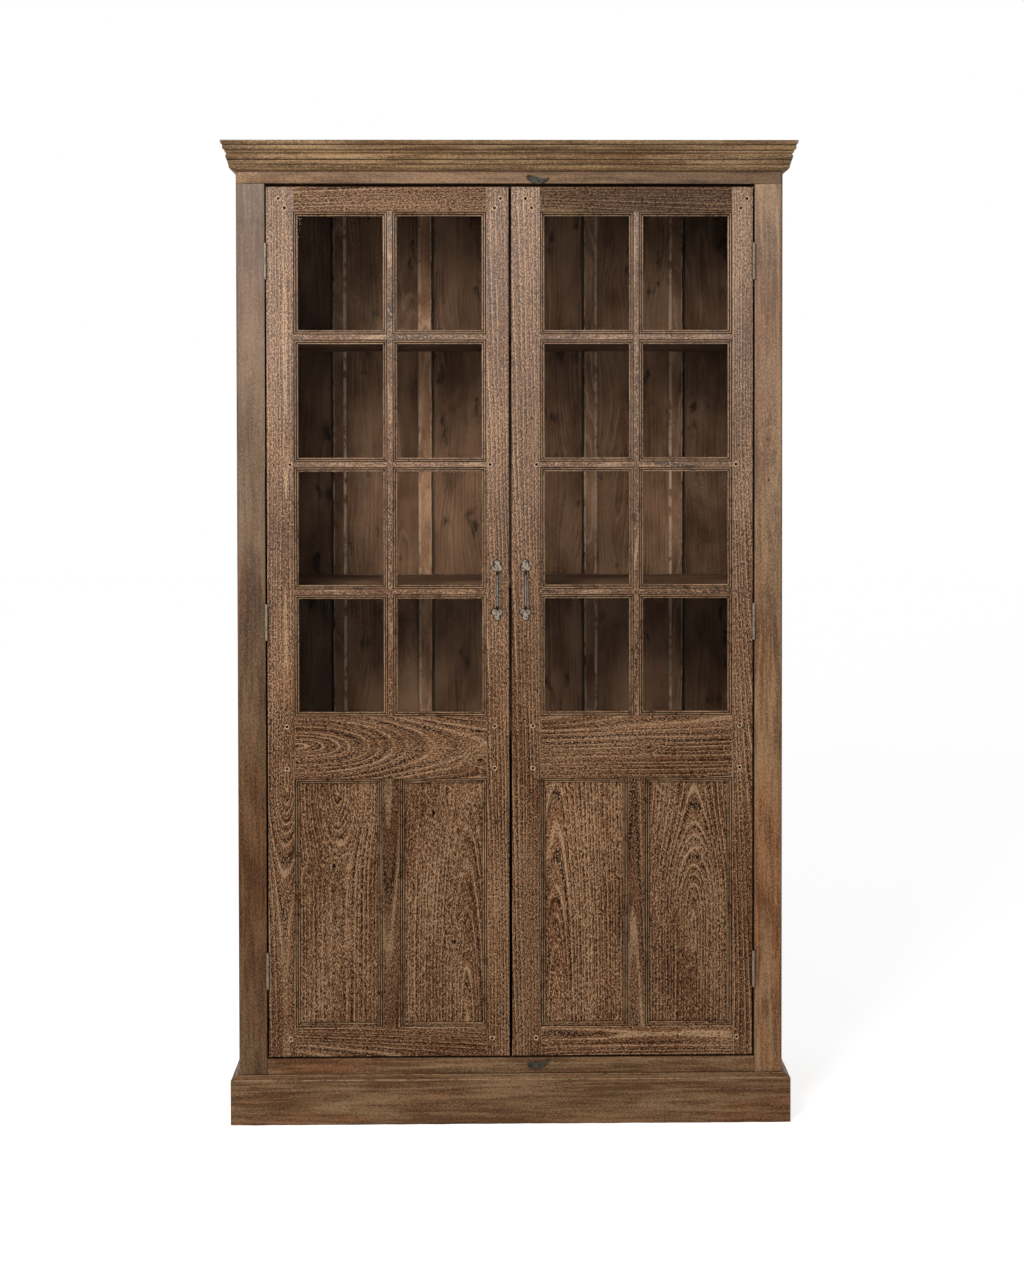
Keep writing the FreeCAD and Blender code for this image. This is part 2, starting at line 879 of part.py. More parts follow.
def hinge_leaf(height, x0, x1, parity, bore_radius):
    """A leaf on the left side of the cabinet, rolled into knuckles round the pin."""
    foot = height - hinge_height / 2.0
    axis = V(-hinge_axis_x, hinge_axis_y, 0.0)
    leaf = block(x0, x1, front + leaf_setback, front + leaf_width, foot, foot + hinge_height)
    rolls = []
    for z0, z1 in knuckle_spans(height, parity):
        low = axis + V(0.0, 0.0, z0)
        rolls.append(faceted_rod(knuckle_radius, low, low + V(0.0, 0.0, z1 - z0), knuckle_sides))
        rolls.append(block(x0, x1, hinge_axis_y, front + leaf_setback, z0, z1))
    low = axis + V(0.0, 0.0, foot)
    bore = faceted_rod(bore_radius, low, low + V(0.0, 0.0, hinge_height), knuckle_sides)
    return without(joined(leaf, rolls), [bore])


def frame_leaf(height):
    bore_radius = bore_round(pin_radius, knuckle_sides)
    return hinge_leaf(height, -post_inner, -post_inner + leaf_thickness, 0, bore_radius)


def door_leaf(height):
    edge = -post_inner + side_gap
    bore_radius = bore_round(pin_radius + running_clearance, knuckle_sides)
    return hinge_leaf(height, edge - leaf_thickness, edge, 1, bore_radius)


def hinge_pin(height):
    foot = V(-hinge_axis_x, hinge_axis_y, height - hinge_height / 2.0)
    return rod(pin_radius, foot, foot + V(0.0, 0.0, hinge_height))


# Pull handles

def lobe(x, z, radius):
    """One rounded disc of a handle's cast end plate."""
    return faceted_rod(radius, V(x, front, z), V(x, front - plate_thickness, z), lobe_sides)


def end_plate(x, z, up):
    """A spade-shaped plate of four lobes, its tip pointing away from the bow."""
    lobes = [
        lobe(x, z + up * tip_lobe_offset, tip_lobe_radius),
        lobe(x - side_lobe_spread, z - up * side_lobe_offset, side_lobe_radius),
        lobe(x + side_lobe_spread, z - up * side_lobe_offset, side_lobe_radius),
    ]
    return joined(lobe(x, z, waist_radius), lobes)


def bow(x):
    """The grip, bent out from both plates."""
    half = handle_foot_span / 2.0
    inner_y = front - bow_standoff + bow_bend
    outer_y = front - bow_standoff
    straight = half - bow_bend
    cut = bow_bend * quarter_arc_cut
    z = handle_height
    path = [
        Part.makeLine(V(x, front, z + half), V(x, inner_y, z + half)),
        Part.Arc(
            V(x, inner_y, z + half), V(x, outer_y + cut, z + half - cut), V(x, outer_y, z + straight)
        ).toShape(),
        Part.makeLine(V(x, outer_y, z + straight), V(x, outer_y, z - straight)),
        Part.Arc(
            V(x, outer_y, z - straight), V(x, outer_y + cut, z - half + cut), V(x, inner_y, z - half)
        ).toShape(),
        Part.makeLine(V(x, inner_y, z - half), V(x, front, z - half)),
    ]
    ring = polygon(V(x, front, z + half), V(0.0, -1.0, 0.0), bow_radius, bow_sides)
    return Part.Wire(path).makePipeShell([ring], True, False)


def pull_handle(x):
    offset = plate_centre_span / 2.0
    upper = end_plate(x, handle_height + offset, 1.0)
    lower = end_plate(x, handle_height - offset, -1.0)
    return joined(upper, [lower, bow(x)])


# Turn buttons

def button_plate():
    """A horn-shaped button hanging from its eye, round the origin."""
    r = button_eye_radius
    outline = [
        (r, 0.0),
        ((0.0, r), (-r, 0.0)),
        button_belly,
        button_point,
        button_hook,
        (button_hollow, (r, -button_eye_drop)),
    ]
    reach = V(0.0, button_thickness, 0.0)
    plate = section(outline, lambda x, z: V(x, 0.0, z)).extrude(reach)
    eye_radius = bore_round(nail_radius + running_clearance, nail_sides)
    eye = faceted_rod(eye_radius, V(0.0, 0.0, 0.0), reach, nail_sides)
    return without(plate, [eye])


def turn_button(height, turn):
    """A button set on its nail and turned by an angle about it."""
    plate = button_plate()
    plate.rotate(V(0.0, 0.0, 0.0), V(0.0, 1.0, 0.0), turn)
    plate.translate(V(button_right_of_middle, front - button_clearance - button_thickness, height))
    return plate


def nail(height):
    """A nail driven into the face frame, its hammered head just in front of the button."""
    outward = V(0.0, -1.0, 0.0)
    foot = V(button_right_of_middle, front + nail_length, height)
    neck = V(button_right_of_middle, front - 2.0 * button_clearance - button_thickness, height)
    base = polygon(neck, outward, nail_head_radius, nail_sides)
    crown = polygon(neck + outward * nail_head_height, outward, nail_point_radius, nail_sides)
    head = Part.makeLoft([base, crown], True, True)
    return joined(head, [faceted_rod(nail_radius, foot, neck, nail_sides)])


os.makedirs("parts", exist_ok=True)

for name, piece in zip(("front", "left", "right"), cornice_pieces()):
    save("cornice_" + name, [piece])
for name, piece in zip(("front", "left", "right"), plinth_pieces()):
    save("plinth_" + name, [piece])
save("side_left", [left_side()])
save("side_right", [mirrored(left_side())])
save("post_left", [left_post()])
save("post_right", [mirrored(left_post())])
save("frieze_rail", [frieze_rail()])
save("sill_rail", [sill_rail()])
save("top_board", [top_board()])
save("floor_board", [floor_board()])
for name in shelf_tops:
    save("shelf_" + name, [shelf(name)])
save("shelf_cleats", cleats())
save("door_stop", [door_stop()])
save("back_boards", back_boards())
save("back_unit_stiles", unit_stiles())
save("back_unit_rails", unit_rails())
save("back_unit_panels", [unit_panel(), mirrored(unit_panel())])

left_plan = DoorPlan("left_door", -post_inner + side_gap, left_hinge_stile, left_meeting_stile)
right_plan = DoorPlan("right_door", middle_gap / 2.0, right_meeting_stile, right_hinge_stile)
stile_names = {"left_door": ("hinge_stile", "meeting_stile"), "right_door": ("meeting_stile", "hinge_stile")}
for plan in (left_plan, right_plan):
    left_name, right_name = stile_names[plan.name]
    save(plan.name + "_" + left_name, [stile(plan, "left")])
    save(plan.name + "_" + right_name, [stile(plan, "right")])
    save(plan.name + "_top_rail", [top_rail(plan)])
    save(plan.name + "_lock_rail", [lock_rail(plan)])
    save(plan.name + "_bottom_rail", [bottom_rail(plan)])
    save(plan.name + "_muntin", [muntin(plan)])
    save(plan.name + "_upright_bar", [upright_bar(plan)])
    save(plan.name + "_cross_bars", cross_bars(plan))
    for side, opening in zip(("left", "right"), plan.panel_openings()):
        save(plan.name + "_" + side + "_panel", [door_panel(opening)])
    save(plan.name + "_glass", glass_panes(plan))
    save(plan.name + "_glazing_beads", glazing_beads(plan))
    save(plan.name + "_pegs", peg_rods(plan, front + peg_sink))

door_leaves = [door_leaf(height) for height in hinge_centres]
frame_leaves = [frame_leaf(height) for height in hinge_centres]
pins = [hinge_pin(height) for height in hinge_centres]
save("left_door_hinge_leaves", door_leaves)
save("right_door_hinge_leaves", [mirrored(leaf) for leaf in door_leaves])
save("post_hinge_leaves", frame_leaves + [mirrored(leaf) for leaf in frame_leaves])
save("hinge_pins", pins + [mirrored(pin) for pin in pins])

save("left_door_pull_handle", [pull_handle(left_plan.x1 - left_handle_inset)])
save("right_door_pull_handle", [pull_handle(right_plan.x0 + right_handle_inset)])

save("upper_button", [turn_button(upper_button_height, -button_turned_aside)])
lower_turn = 180.0 + lower_button_lean + button_turned_aside
save("lower_button", [turn_button(lower_button_height, lower_turn)])
save("button_nails", [nail(upper_button_height), nail(lower_button_height)])
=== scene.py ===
"""The looks of a tall glazed hardwood cabinet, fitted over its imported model."""
import logging
import math
import random
from dataclasses import dataclass, field, replace
from enum import Enum
from typing import Callable, ClassVar, Sequence

import bmesh
import bpy
from bmesh.types import BMEdge, BMesh, BMFace, BMLayerItem, BMVert
from bpy.types import ID, Material, Mesh, Node, NodeSocket, NodeTree, Object
from mathutils import Euler, Matrix, Vector, noise


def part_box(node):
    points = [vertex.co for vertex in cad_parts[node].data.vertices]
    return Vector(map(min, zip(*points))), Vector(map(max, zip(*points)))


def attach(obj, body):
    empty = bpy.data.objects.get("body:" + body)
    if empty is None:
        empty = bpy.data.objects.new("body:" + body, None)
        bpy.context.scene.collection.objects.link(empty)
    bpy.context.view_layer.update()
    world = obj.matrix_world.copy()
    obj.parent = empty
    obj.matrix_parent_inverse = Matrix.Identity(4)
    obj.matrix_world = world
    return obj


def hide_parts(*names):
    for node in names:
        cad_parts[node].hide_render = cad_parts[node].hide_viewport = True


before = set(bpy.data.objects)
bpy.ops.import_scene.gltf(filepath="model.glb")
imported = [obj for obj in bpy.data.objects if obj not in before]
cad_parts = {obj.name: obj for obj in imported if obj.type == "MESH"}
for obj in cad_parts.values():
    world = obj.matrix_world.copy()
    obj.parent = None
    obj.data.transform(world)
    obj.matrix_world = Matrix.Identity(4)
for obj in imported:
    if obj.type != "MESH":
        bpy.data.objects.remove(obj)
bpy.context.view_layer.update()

MM = 0.001
WELD = 0.002 * MM
CUT_PLAY = 0.01 * MM
# mark for rounded arrises: worn bare wood that also serves as a painted edge highlight
WORN_AND_LIT = 1.0
# mark for painted shade: black in joints and gaps
BLACK = -1.0
LOG = logging.getLogger("cabinet")

Colour = tuple[float, float, float]
Spots = list[tuple[Vector, Vector]]
Sockets = dict[str, tuple[str, ...]]


class Grain(Enum):
    """Which way a board's grain runs: the numbers of the axes along it, across it and into it."""

    UPRIGHT = (2, 0, 1)
    LEVEL = (0, 2, 1)
    INWARD = (1, 2, 0)


class Cut(Enum):
    """How a board was sawn: how far its heart lies behind its face, and how it leans, as spans in metres."""

    QUARTER = (0.1, 0.25, 0.01)
    RIFT = (0.045, 0.08, 0.02)
    PLAIN = (0.006, 0.022, 0.045)


class Door(Enum):
    """The two doors, by the names that their pieces start with."""

    LEFT = "left_door"
    RIGHT = "right_door"


@dataclass(frozen=True, eq=False)
class Wire:
    """An output socket to reckon with: each operation adds a Math node."""

    net: "Net"
    socket: NodeSocket

    def __add__(self, other: "Value") -> "Wire":
        """Return the sum."""
        return self.net.math("ADD", self, other)

    def __sub__(self, other: "Value") -> "Wire":
        """Return the difference."""
        return self.net.math("SUBTRACT", self, other)

    def __mul__(self, other: "Value") -> "Wire":
        """Return the product."""
        return self.net.math("MULTIPLY", self, other)

    def __truediv__(self, other: "Value") -> "Wire":
        """Return the quotient."""
        return self.net.math("DIVIDE", self, other)


Value = float | Sequence[float] | NodeSocket | Wire


class Net:
    """Adds nodes to one tree by short calls."""

    def __init__(self, tree: NodeTree) -> None:
        """Keep the tree that the nodes go into."""
        self.tree = tree

    def feed(self, socket: NodeSocket, value: Value) -> None:
        """Link an input, or set its own value.

        Args:
            socket: the input.
            value: a wire or a socket to link, or a value. Colours get full alpha.
        """
        if isinstance(value, Wire):
            value = value.socket
        if isinstance(value, NodeSocket):
            self.tree.links.new(value, socket)
        else:
            socket.default_value = (*value, 1.0) if socket.type == "RGBA" else value

    def fill(self, node: Node, inputs: dict) -> None:
        """Feed a node's inputs, given by name or number."""
        for key, value in inputs.items():
            self.feed(node.inputs[key], value)

    def node(self, kind: str, inputs: dict | None = None, **settings: object) -> Node:
        """Add a node.

        Args:
            kind: the node's type.
            inputs: wires or values by input name or number.
            settings: its own properties.

        Returns:
            The new node.
        """
        made = self.tree.nodes.new(kind)
        for key, value in settings.items():
            setattr(made, key, value)
        self.fill(made, inputs or {})
        return made

    def out(self, kind: str, inputs: dict | None = None, output: int | str = 0, **settings: object) -> Wire:
        """Add a node and return a wire from one of its outputs."""
        return Wire(self, self.node(kind, inputs, **settings).outputs[output])

    def math(self, operation: str, first: Value, second: Value = 0.0, clamp: bool = False) -> Wire:
        """Return the result of a Math node."""
        return self.out("ShaderNodeMath", {0: first, 1: second}, operation=operation, use_clamp=clamp)

    def vector(self, operation: str, first: Value, second: Value) -> Wire:
        """Return the vector result of a Vector Math node."""
        return self.out("ShaderNodeVectorMath", {0: first, 1: second}, operation=operation)

    def length(self, value: Value) -> Wire:
        """Return the length of a vector."""
        return self.out("ShaderNodeVectorMath", {0: value}, "Value", operation="LENGTH")

    def noise(self, vector: Value, scale: float, detail: float, rough: float = 0.55) -> Wire:
        """Return the factor of a Noise Texture."""
        inputs = {"Vector": vector, "Scale": scale, "Detail": detail, "Roughness": rough}
        return self.out("ShaderNodeTexNoise", inputs, "Fac")

    def stretched(self, vector: Value, scales: Value, detail: float, rough: float = 0.55) -> Wire:
        """Return noise with a scale of its own on each axis."""
        return self.noise(self.vector("MULTIPLY", vector, scales), 1.0, detail, rough)

    def spread(self, value: Value, low: float, high: float, to_low: float = 0.0, to_high: float = 1.0,
               way: str = "SMOOTHSTEP") -> Wire:
        """Return a value mapped from one span to another and held inside it.

        Args:
            value: what is mapped.
            low: start of the span that it comes from.
            high: end of the span that it comes from.
            to_low: result at low.
            to_high: result at high.
            way: how it is mapped in between.

        Returns:
            The mapped value.
        """
        inputs = {"Value": value, 1: low, 2: high, 3: to_low, 4: to_high}
        return self.out("ShaderNodeMapRange", inputs, "Result", interpolation_type=way, clamp=True)

    def blend(self, share: Value, first: Value, second: Value, way: str = "MIX") -> Wire:
        """Return a mix of two colours."""
        return self.out("ShaderNodeMix", {0: share, 6: first, 7: second}, 2, data_type="RGBA", blend_type=way,
                        clamp_factor=True)

    def parts(self, value: Value) -> tuple[Wire, ...]:
        """Return the three numbers of a vector."""
        return tuple(Wire(self, output) for output in self.node("ShaderNodeSeparateXYZ", {0: value}).outputs)

    def attribute(self, name: str, output: str = "Vector") -> Wire:
        """Return a mesh attribute's value."""
        return self.out("ShaderNodeAttribute", output=output, attribute_type="GEOMETRY", attribute_name=name)

    def place(self) -> Wire:
        """Return each point's place in its object."""
        return self.out("ShaderNodeTexCoord", output="Object")

    def bump(self, height: Value, distance: float, strength: float) -> Wire:
        """Return a normal that follows a height."""
        return self.out("ShaderNodeBump", {"Height": height, "Distance": distance, "Strength": strength}, "Normal")


def node_group(name: str, inputs: Sockets, outputs: Sockets,
               kind: str = "ShaderNodeTree") -> tuple[Net, dict[str, Wire], Node]:
    """Start a node group.

    Args:
        name: the group's name.
        inputs: the names of its inputs by their type.
        outputs: the names of its outputs by their type.
        kind: the type of its tree.

    Returns:
        The net of its tree, wires from its inputs by name, and the node that its outputs go to.
    """
    net = Net(bpy.data.node_groups.new(name, kind))
    for way, sockets in (("INPUT", inputs), ("OUTPUT", outputs)):
        for socket_type, labels in sockets.items():
            for label in labels:
                net.tree.interface.new_socket(label, in_out=way, socket_type="NodeSocket" + socket_type)
    entry = net.node("NodeGroupInput").outputs
    return net, {socket.name: Wire(net, socket) for socket in entry if socket.name}, net.node("NodeGroupOutput")


def heart_distance_group() -> NodeTree:
    """Build the group that says how far each point of a board lies from the tree's heart, in metres."""
    net, given, result = node_group(
        "heart distance", {"Vector": ("Plank", "Character", "Sweep"), "Float": ("Wander",)},
        {"Float": ("Distance",)})
    plank, wander = given["Plank"], given["Wander"]
    along, across, depth = net.parts(plank)
    base, _, limit = net.parts(given["Character"])
    slope, centre, _ = net.parts(given["Sweep"])
    slow = net.vector("MULTIPLY", plank, (2.4, 9.0, 9.0))
    other = net.vector("ADD", slow, (5.3, 2.1, 7.7))
    ripple = (net.stretched(plank, (9.0, 34.0, 34.0), 2.0) - 0.5) * 0.35
    sway = (net.noise(slow, 1.0, 1.0) - 0.5) * 3.0
    roll = (net.noise(other, 1.0, 1.0) - 0.5) * 3.0
    side = across + (sway + ripple) * wander
    rise = net.math("TANH", (along - centre) * slope / limit) * limit
    behind = base + rise + depth + (roll + ripple) * wander
    joined = net.out("ShaderNodeCombineXYZ", {0: side, 1: behind})
    net.fill(result, {"Distance": net.length(joined)})
    return net.tree


def knot_eye_group() -> NodeTree:
    """Build the group that closes the growth rings round one knot and gives its dark eye."""
    net, given, result = node_group(
        "knot eye", {"Vector": ("Plank", "Centre"), "Float": ("Distance", "Reach", "Lift")},
        {"Float": ("Distance", "Eye")})
    away = net.vector("SUBTRACT", given["Plank"], given["Centre"])
    ruffle = net.stretched(given["Plank"], (40.0, 70.0, 70.0), 2.0)
    flat = net.vector("MULTIPLY", away, (0.6, 1.0, 0.0))
    share = net.length(flat) * (ruffle + 0.5) / given["Reach"]
    bulge = net.math("EXPONENT", share * share * -1.0)
    net.fill(result, {"Distance": given["Distance"] + bulge * given["Lift"],
                      "Eye": net.spread(share, 0.12, 0.28, 1.0, 0.0)})
    return net.tree


def plank_figure_group() -> NodeTree:
    """Build the group that turns the distance from the heart into rings, speckle, limed lines and stains."""
    net, given, result = node_group(
        "plank figure",
        {"Vector": ("Plank", "Character", "Cloud Scale"),
         "Float": ("Distance", "Ring Gap", "Ring Strength", "Pore Strength", "Lime Strength", "Cloud Strength",
                   "Vein Strength", "Stain Strength"),
         "Color": ("Blush", "Deep", "Body", "Pale", "Lime", "Pore")},
        {"Color": ("Color",), "Float": ("Ridge", "Hollow")})
    plank, distance, lime, pore = (given[name] for name in ("Plank", "Distance", "Lime", "Pore"))
    tone = net.parts(given["Character"])[1]
    shifted = net.vector("ADD", plank, (3.7, 1.3, 0.9))
    jitter = net.stretched(plank, (14.0, 60.0, 60.0), 2.0) - 0.5
    widths = net.noise(net.out("ShaderNodeCombineXYZ", {0: distance}), 55.0, 1.0)
    phase = net.math("FRACT", distance / given["Ring Gap"] + jitter * 0.18 + widths * 2.0)
    trough = net.spread(phase, 0.0, 0.06) * net.spread(phase, 0.18, 0.32, 1.0, 0.0)
    crest = net.spread(phase, 0.36, 0.44) * net.spread(phase, 0.52, 0.62, 1.0, 0.0)
    shown = net.spread(net.stretched(shifted, (4.0, 26.0, 26.0), 3.0), 0.38, 0.6, 0.18, 1.0)
    cloud = net.stretched(plank, given["Cloud Scale"], 4.0, 0.6)
    veins = net.stretched(shifted, (8.0, 130.0, 130.0), 3.0, 0.6)
    speck = net.stretched(plank, (270.0, 430.0, 430.0), 2.0, 0.65)
    grit = net.stretched(shifted, (210.0, 390.0, 390.0), 2.0, 0.65)
    blot = net.stretched(shifted, (14.0, 24.0, 24.0), 4.0, 0.6)
    flush = net.stretched(shifted, (1.9, 7.0, 7.0), 3.0, 0.6)

    cloudy = (cloud - 0.5) * given["Cloud Strength"]
    veined = (veins - 0.5) * given["Vein Strength"]
    colour = net.blend(net.math("ADD", cloudy + veined, 0.5, True), given["Body"], given["Pale"])
    colour = net.blend(net.spread(flush, 0.42, 0.58), colour, given["Blush"], "MULTIPLY")
    colour = net.blend(net.spread(blot, 0.58, 0.72) * given["Stain Strength"], colour, pore)
    lines = trough * shown * given["Ring Strength"]
    colour = net.blend(lines, colour, given["Deep"])
    ridges = crest * shown * given["Ring Strength"]
    colour = net.blend(ridges * 0.72, colour, lime)
    mask = net.math("MULTIPLY", net.spread(speck + trough * 0.05, 0.515, 0.59), given["Pore Strength"], True)
    colour = net.blend(mask, colour, pore)
    raised = net.spread(grit + crest * 0.05 + cloudy * 0.12, 0.535, 0.615)
    limed = net.math("MULTIPLY", raised, given["Lime Strength"], True)
    colour = net.blend(limed, colour, lime)
    lit = net.out("ShaderNodeVectorMath", {0: colour, "Scale": tone + 1.0}, operation="SCALE")
    net.fill(result, {"Color": lit, "Ridge": ridges * 0.7 + limed * 0.4, "Hollow": net.math("MAXIMUM", mask, lines)})
    return net.tree


def wear_group() -> NodeTree:
    """Build the group that rubs the arrises bare with a painted highlight and paints shade into corners, creases and
    marked faces.
    """
    net, given, result = node_group(
        "wear", {"Vector": ("Place",), "Float": ("Open", "Rubbing", "Grime"), "Color": ("Color", "Lime", "Dirt")},
        {"Color": ("Color",), "Float": ("Soiled",)})
    arris = net.attribute("arris", "Fac")
    patch = net.noise(given["Place"], 48.0, 4.0, 0.62)
    # rounded arrises rubbed to bare wood, which also serves as a painted edge highlight
    bare = net.spread(arris, 0.4, 1.0) * net.spread(patch, 0.36, 0.56)
    bare = net.math("MULTIPLY", bare, given["Rubbing"], True)
    colour = net.blend(bare, given["Color"], given["Lime"])
    # painted shade: darkening where the ambient occlusion is closed, in corners and creases, broken up by noise
    shade_patch = net.noise(given["Place"], 9.0, 5.0, 0.65)
    corner_shade = net.spread(given["Open"], 0.25, 0.8, 1.0, 0.0) * net.spread(shade_patch, 0.2, 0.6, 0.6, 1.0)
    # painted shade on faces marked below zero: joints, gap edges, moulding hollows and undersides
    quirk = net.spread(arris, -1.0, -0.2, 0.9, 0.0)
    shade_share = net.math("MULTIPLY", net.math("MAXIMUM", corner_shade, quirk), given["Grime"], True)
    net.fill(result, {"Color": net.blend(shade_share, colour, given["Dirt"]), "Soiled": shade_share})
    return net.tree


def painted_sheen_group() -> NodeTree:
    """Build the group that adds a grey painted sheen to a wood, stronger towards the top of the cabinet."""
    net, given, result = node_group(
        "painted_sheen", {"Color": ("Color", "Dust"), "Float": ("Fading",)}, {"Color": ("Color",)})
    place = net.place()
    uneven = net.noise(place, 5.0, 4.0, 0.6)
    # painted sheen: a grey veil that grows with height, standing in for the lamps' reflection
    share = net.spread(net.parts(place)[2], 0.7, 2.05) * net.spread(uneven, 0.25, 0.75, 0.55, 1.25, "LINEAR")
    share = net.math("MULTIPLY", share, given["Fading"], True)
    net.fill(result, {"Color": net.blend(share, given["Color"], given["Dust"], "ADD")})
    return net.tree


class Groups:
    """The shader groups that several materials share, each built once."""

    made: dict[str, NodeTree] = {}
    makers: dict[str, Callable[[], NodeTree]] = {
        "heart": heart_distance_group,
        "knot": knot_eye_group,
        "figure": plank_figure_group,
        "wear": wear_group,
        "painted_sheen": painted_sheen_group,
    }

    @classmethod
    def place(cls, net: Net, name: str, finish: "WoodFinish", **given: Value) -> Node:
        """Add one group to a material.

        Args:
            net: the material's net.
            name: which group.
            finish: feeds each input that isn't given by its field of the same name.
            given: other inputs, by their names in small letters.

        Returns:
            The group's node.
        """
        if name not in cls.made:
            cls.made[name] = cls.makers[name]()
        made = net.node("ShaderNodeGroup", node_tree=cls.made[name])
        for socket in made.inputs:
            label = socket.name.lower().replace(" ", "_")
            net.feed(socket, given[label] if label in given else getattr(finish, label))
        return made


@dataclass(frozen=True)
class Figure:
    """How one board's rings lie: the heart's depth behind its face, how fast and how far that changes along the
    grain and where, and the heart's place across, in metres."""

    heart: float
    slope: float
    limit: float = 0.03
    centre: float = 0.0
    side: float = 0.0


@dataclass(frozen=True)
class Knot:
    """A knot on a board's face: its place in the cabinet, and how far it bends the grain, in metres."""

    x: float
    z: float
    reach: float


def new_material(name: str) -> tuple[Material, Net, Node, Node]:
    """Start a material.

    Args:
        name: its name.

    Returns:
        The material, the net of its tree, its Principled BSDF and its output node.
    """
    material = bpy.data.materials.new(name)
    material.use_nodes = True
    nodes = material.node_tree.nodes
    return material, Net(material.node_tree), nodes["Principled BSDF"], nodes["Material Output"]


@dataclass(frozen=True)
class WoodFinish:
    """A wood with its finish: colours, growth rings, speckle, limed lines, stains, worn edges with a painted
    highlight, painted shade in creases and a painted sheen towards the top.
    """

    name: str
    deep: Colour
    body: Colour
    pale: Colour
    lime: Colour
    pore: Colour
    # colour of the painted shade in creases, joints and gaps
    dirt: Colour = (0.01, 0.006, 0.004)
    # colour of the painted sheen added towards the top
    dust: Colour = (0.206, 0.186, 0.17)
    cloud_scale: Colour = (3.0, 11.0, 11.0)
    blush: Colour = (0.88, 0.84, 0.84)
    ring_gap: float = 7.2 * MM
    ring_strength: float = 0.95
    pore_strength: float = 0.85
    lime_strength: float = 0.8
    cloud_strength: float = 2.2
    vein_strength: float = 1.2
    stain_strength: float = 0.35
    wander: float = 3.4 * MM
    roughness: float = 0.5
    dulling: float = 0.35
    sheen_level: float = 0.05
    brushing: float = 0.4 * MM
    # how strongly arrises show bare wood, worn and as a painted edge highlight
    rubbing: float = 0.8
    # strength of the painted shade in creases, joints and gaps
    grime: float = 0.9
    # strength of the painted sheen towards the top
    fading: float = 0.45
    # reach of the ambient occlusion that paints the crease shade
    painted_occlusion: float = 4.5 * MM
    rings_lifted: float = 4.6

    def figured(self, net: Net, plank: Wire, knots: Sequence[Knot]) -> tuple[Value, Node]:
        """Add the wood's own figure: rings round the heart and the knots, pores and limed lines.

        Args:
            net: the material's net.
            plank: the board's own coordinates.
            knots: knots of the board.

        Returns:
            The colour, and the figure group's node.
        """
        board = {"plank": plank, "character": net.attribute("character")}
        distance = Groups.place(net, "heart", self, sweep=net.attribute("sweep"), **board).outputs["Distance"]
        eyes = []
        for index, knot in enumerate(knots):
            eye = Groups.place(net, "knot", self, plank=plank, distance=distance, reach=knot.reach,
                               centre=net.attribute(f"knot_{index}"), lift=self.rings_lifted * self.ring_gap)
            distance = eye.outputs["Distance"]
            eyes.append(eye.outputs["Eye"])
        figure = Groups.place(net, "figure", self, distance=distance, **board)
        colour = figure.outputs["Color"]
        for eye in eyes:
            colour = net.blend(eye, colour, self.pore)
        return colour, figure

    def material(self, knots: Sequence[Knot] = (), label: str = "") -> Material:
        """Build the material, with the knots that the board has.

        Args:
            knots: knots of the board.
            label: what is added to the finish's name.

        Returns:
            The material.
        """
        material, net, surface, _ = new_material((self.name + " " + label).strip())
        plank = net.attribute("plank")
        colour, figure = self.figured(net, plank, knots)
        # painted sheen towards the top of the cabinet
        sheened = Groups.place(net, "painted_sheen", self, color=colour).outputs["Color"]
        # ambient occlusion, for the painted shade in creases and corners
        painted_occlusion = net.out("ShaderNodeAmbientOcclusion", {"Distance": self.painted_occlusion}, "AO", samples=4)
        worn = Groups.place(net, "wear", self, color=sheened, place=plank, open=painted_occlusion)
        hollow = figure.outputs["Hollow"]
        dull = net.math("MAXIMUM", hollow, worn.outputs["Soiled"])
        height = net.math("SUBTRACT", figure.outputs["Ridge"], hollow)
        net.fill(surface, {
            "Base Color": worn.outputs["Color"],
            "Roughness": net.spread(dull, 0.0, 1.0, self.roughness, self.roughness + self.dulling),
            "Specular IOR Level": self.sheen_level,
            "Normal": net.bump(height, self.brushing, 1.0),
        })
        return material


@dataclass(frozen=True)
class IronFinish:
    """Aged iron: a dark ground, a patina over it, and a painted highlight on what stands before a given depth."""

    name: str
    ground: Colour
    patina: Colour
    bright: Colour
    cover: float = 0.5
    cover_span: tuple[float, float] = (0.62, 0.8)
    cover_reach: float = 0.35
    metal: float = 0.6
    roughness: float = 0.5
    highlight_before: float = -9.0
    highlight_fade: float = 1.2 * MM
    gloss: float = 0.5
    pitting: float = 0.25 * MM

    def material(self) -> Material:
        """Build the material."""
        material, net, surface, _ = new_material(self.name)
        place = net.place()
        blotch = net.noise(place, 160.0, 5.0, 0.62)
        speck = net.noise(place, 900.0, 3.0, 0.6)
        low, high = self.cover_span
        cover = net.spread(blotch, low - self.cover_reach * self.cover, high - self.cover_reach * self.cover)
        colour = net.blend(cover, self.ground, self.patina)
        # painted highlight: pale colour on what stands furthest forward
        front = net.spread(net.parts(place)[1], self.highlight_before, self.highlight_before + self.highlight_fade, 1.0, 0.0)
        colour = net.blend(front * net.spread(blotch, 0.34, 0.52, 0.35, 1.0), colour, self.bright)
        net.fill(surface, {
            "Base Color": net.blend(net.spread(speck, 0.56, 0.72, 0.0, 0.65), colour, self.ground),
            "Metallic": net.spread(cover, 0.0, 1.0, self.metal, self.metal * 0.3),
            "Roughness": net.spread(speck, 0.3, 0.7, self.roughness - 0.12, self.roughness + 0.15),
            "Specular IOR Level": self.gloss,
            "Normal": net.bump(blotch + speck * 0.35, self.pitting, 0.8),
        })
        return material


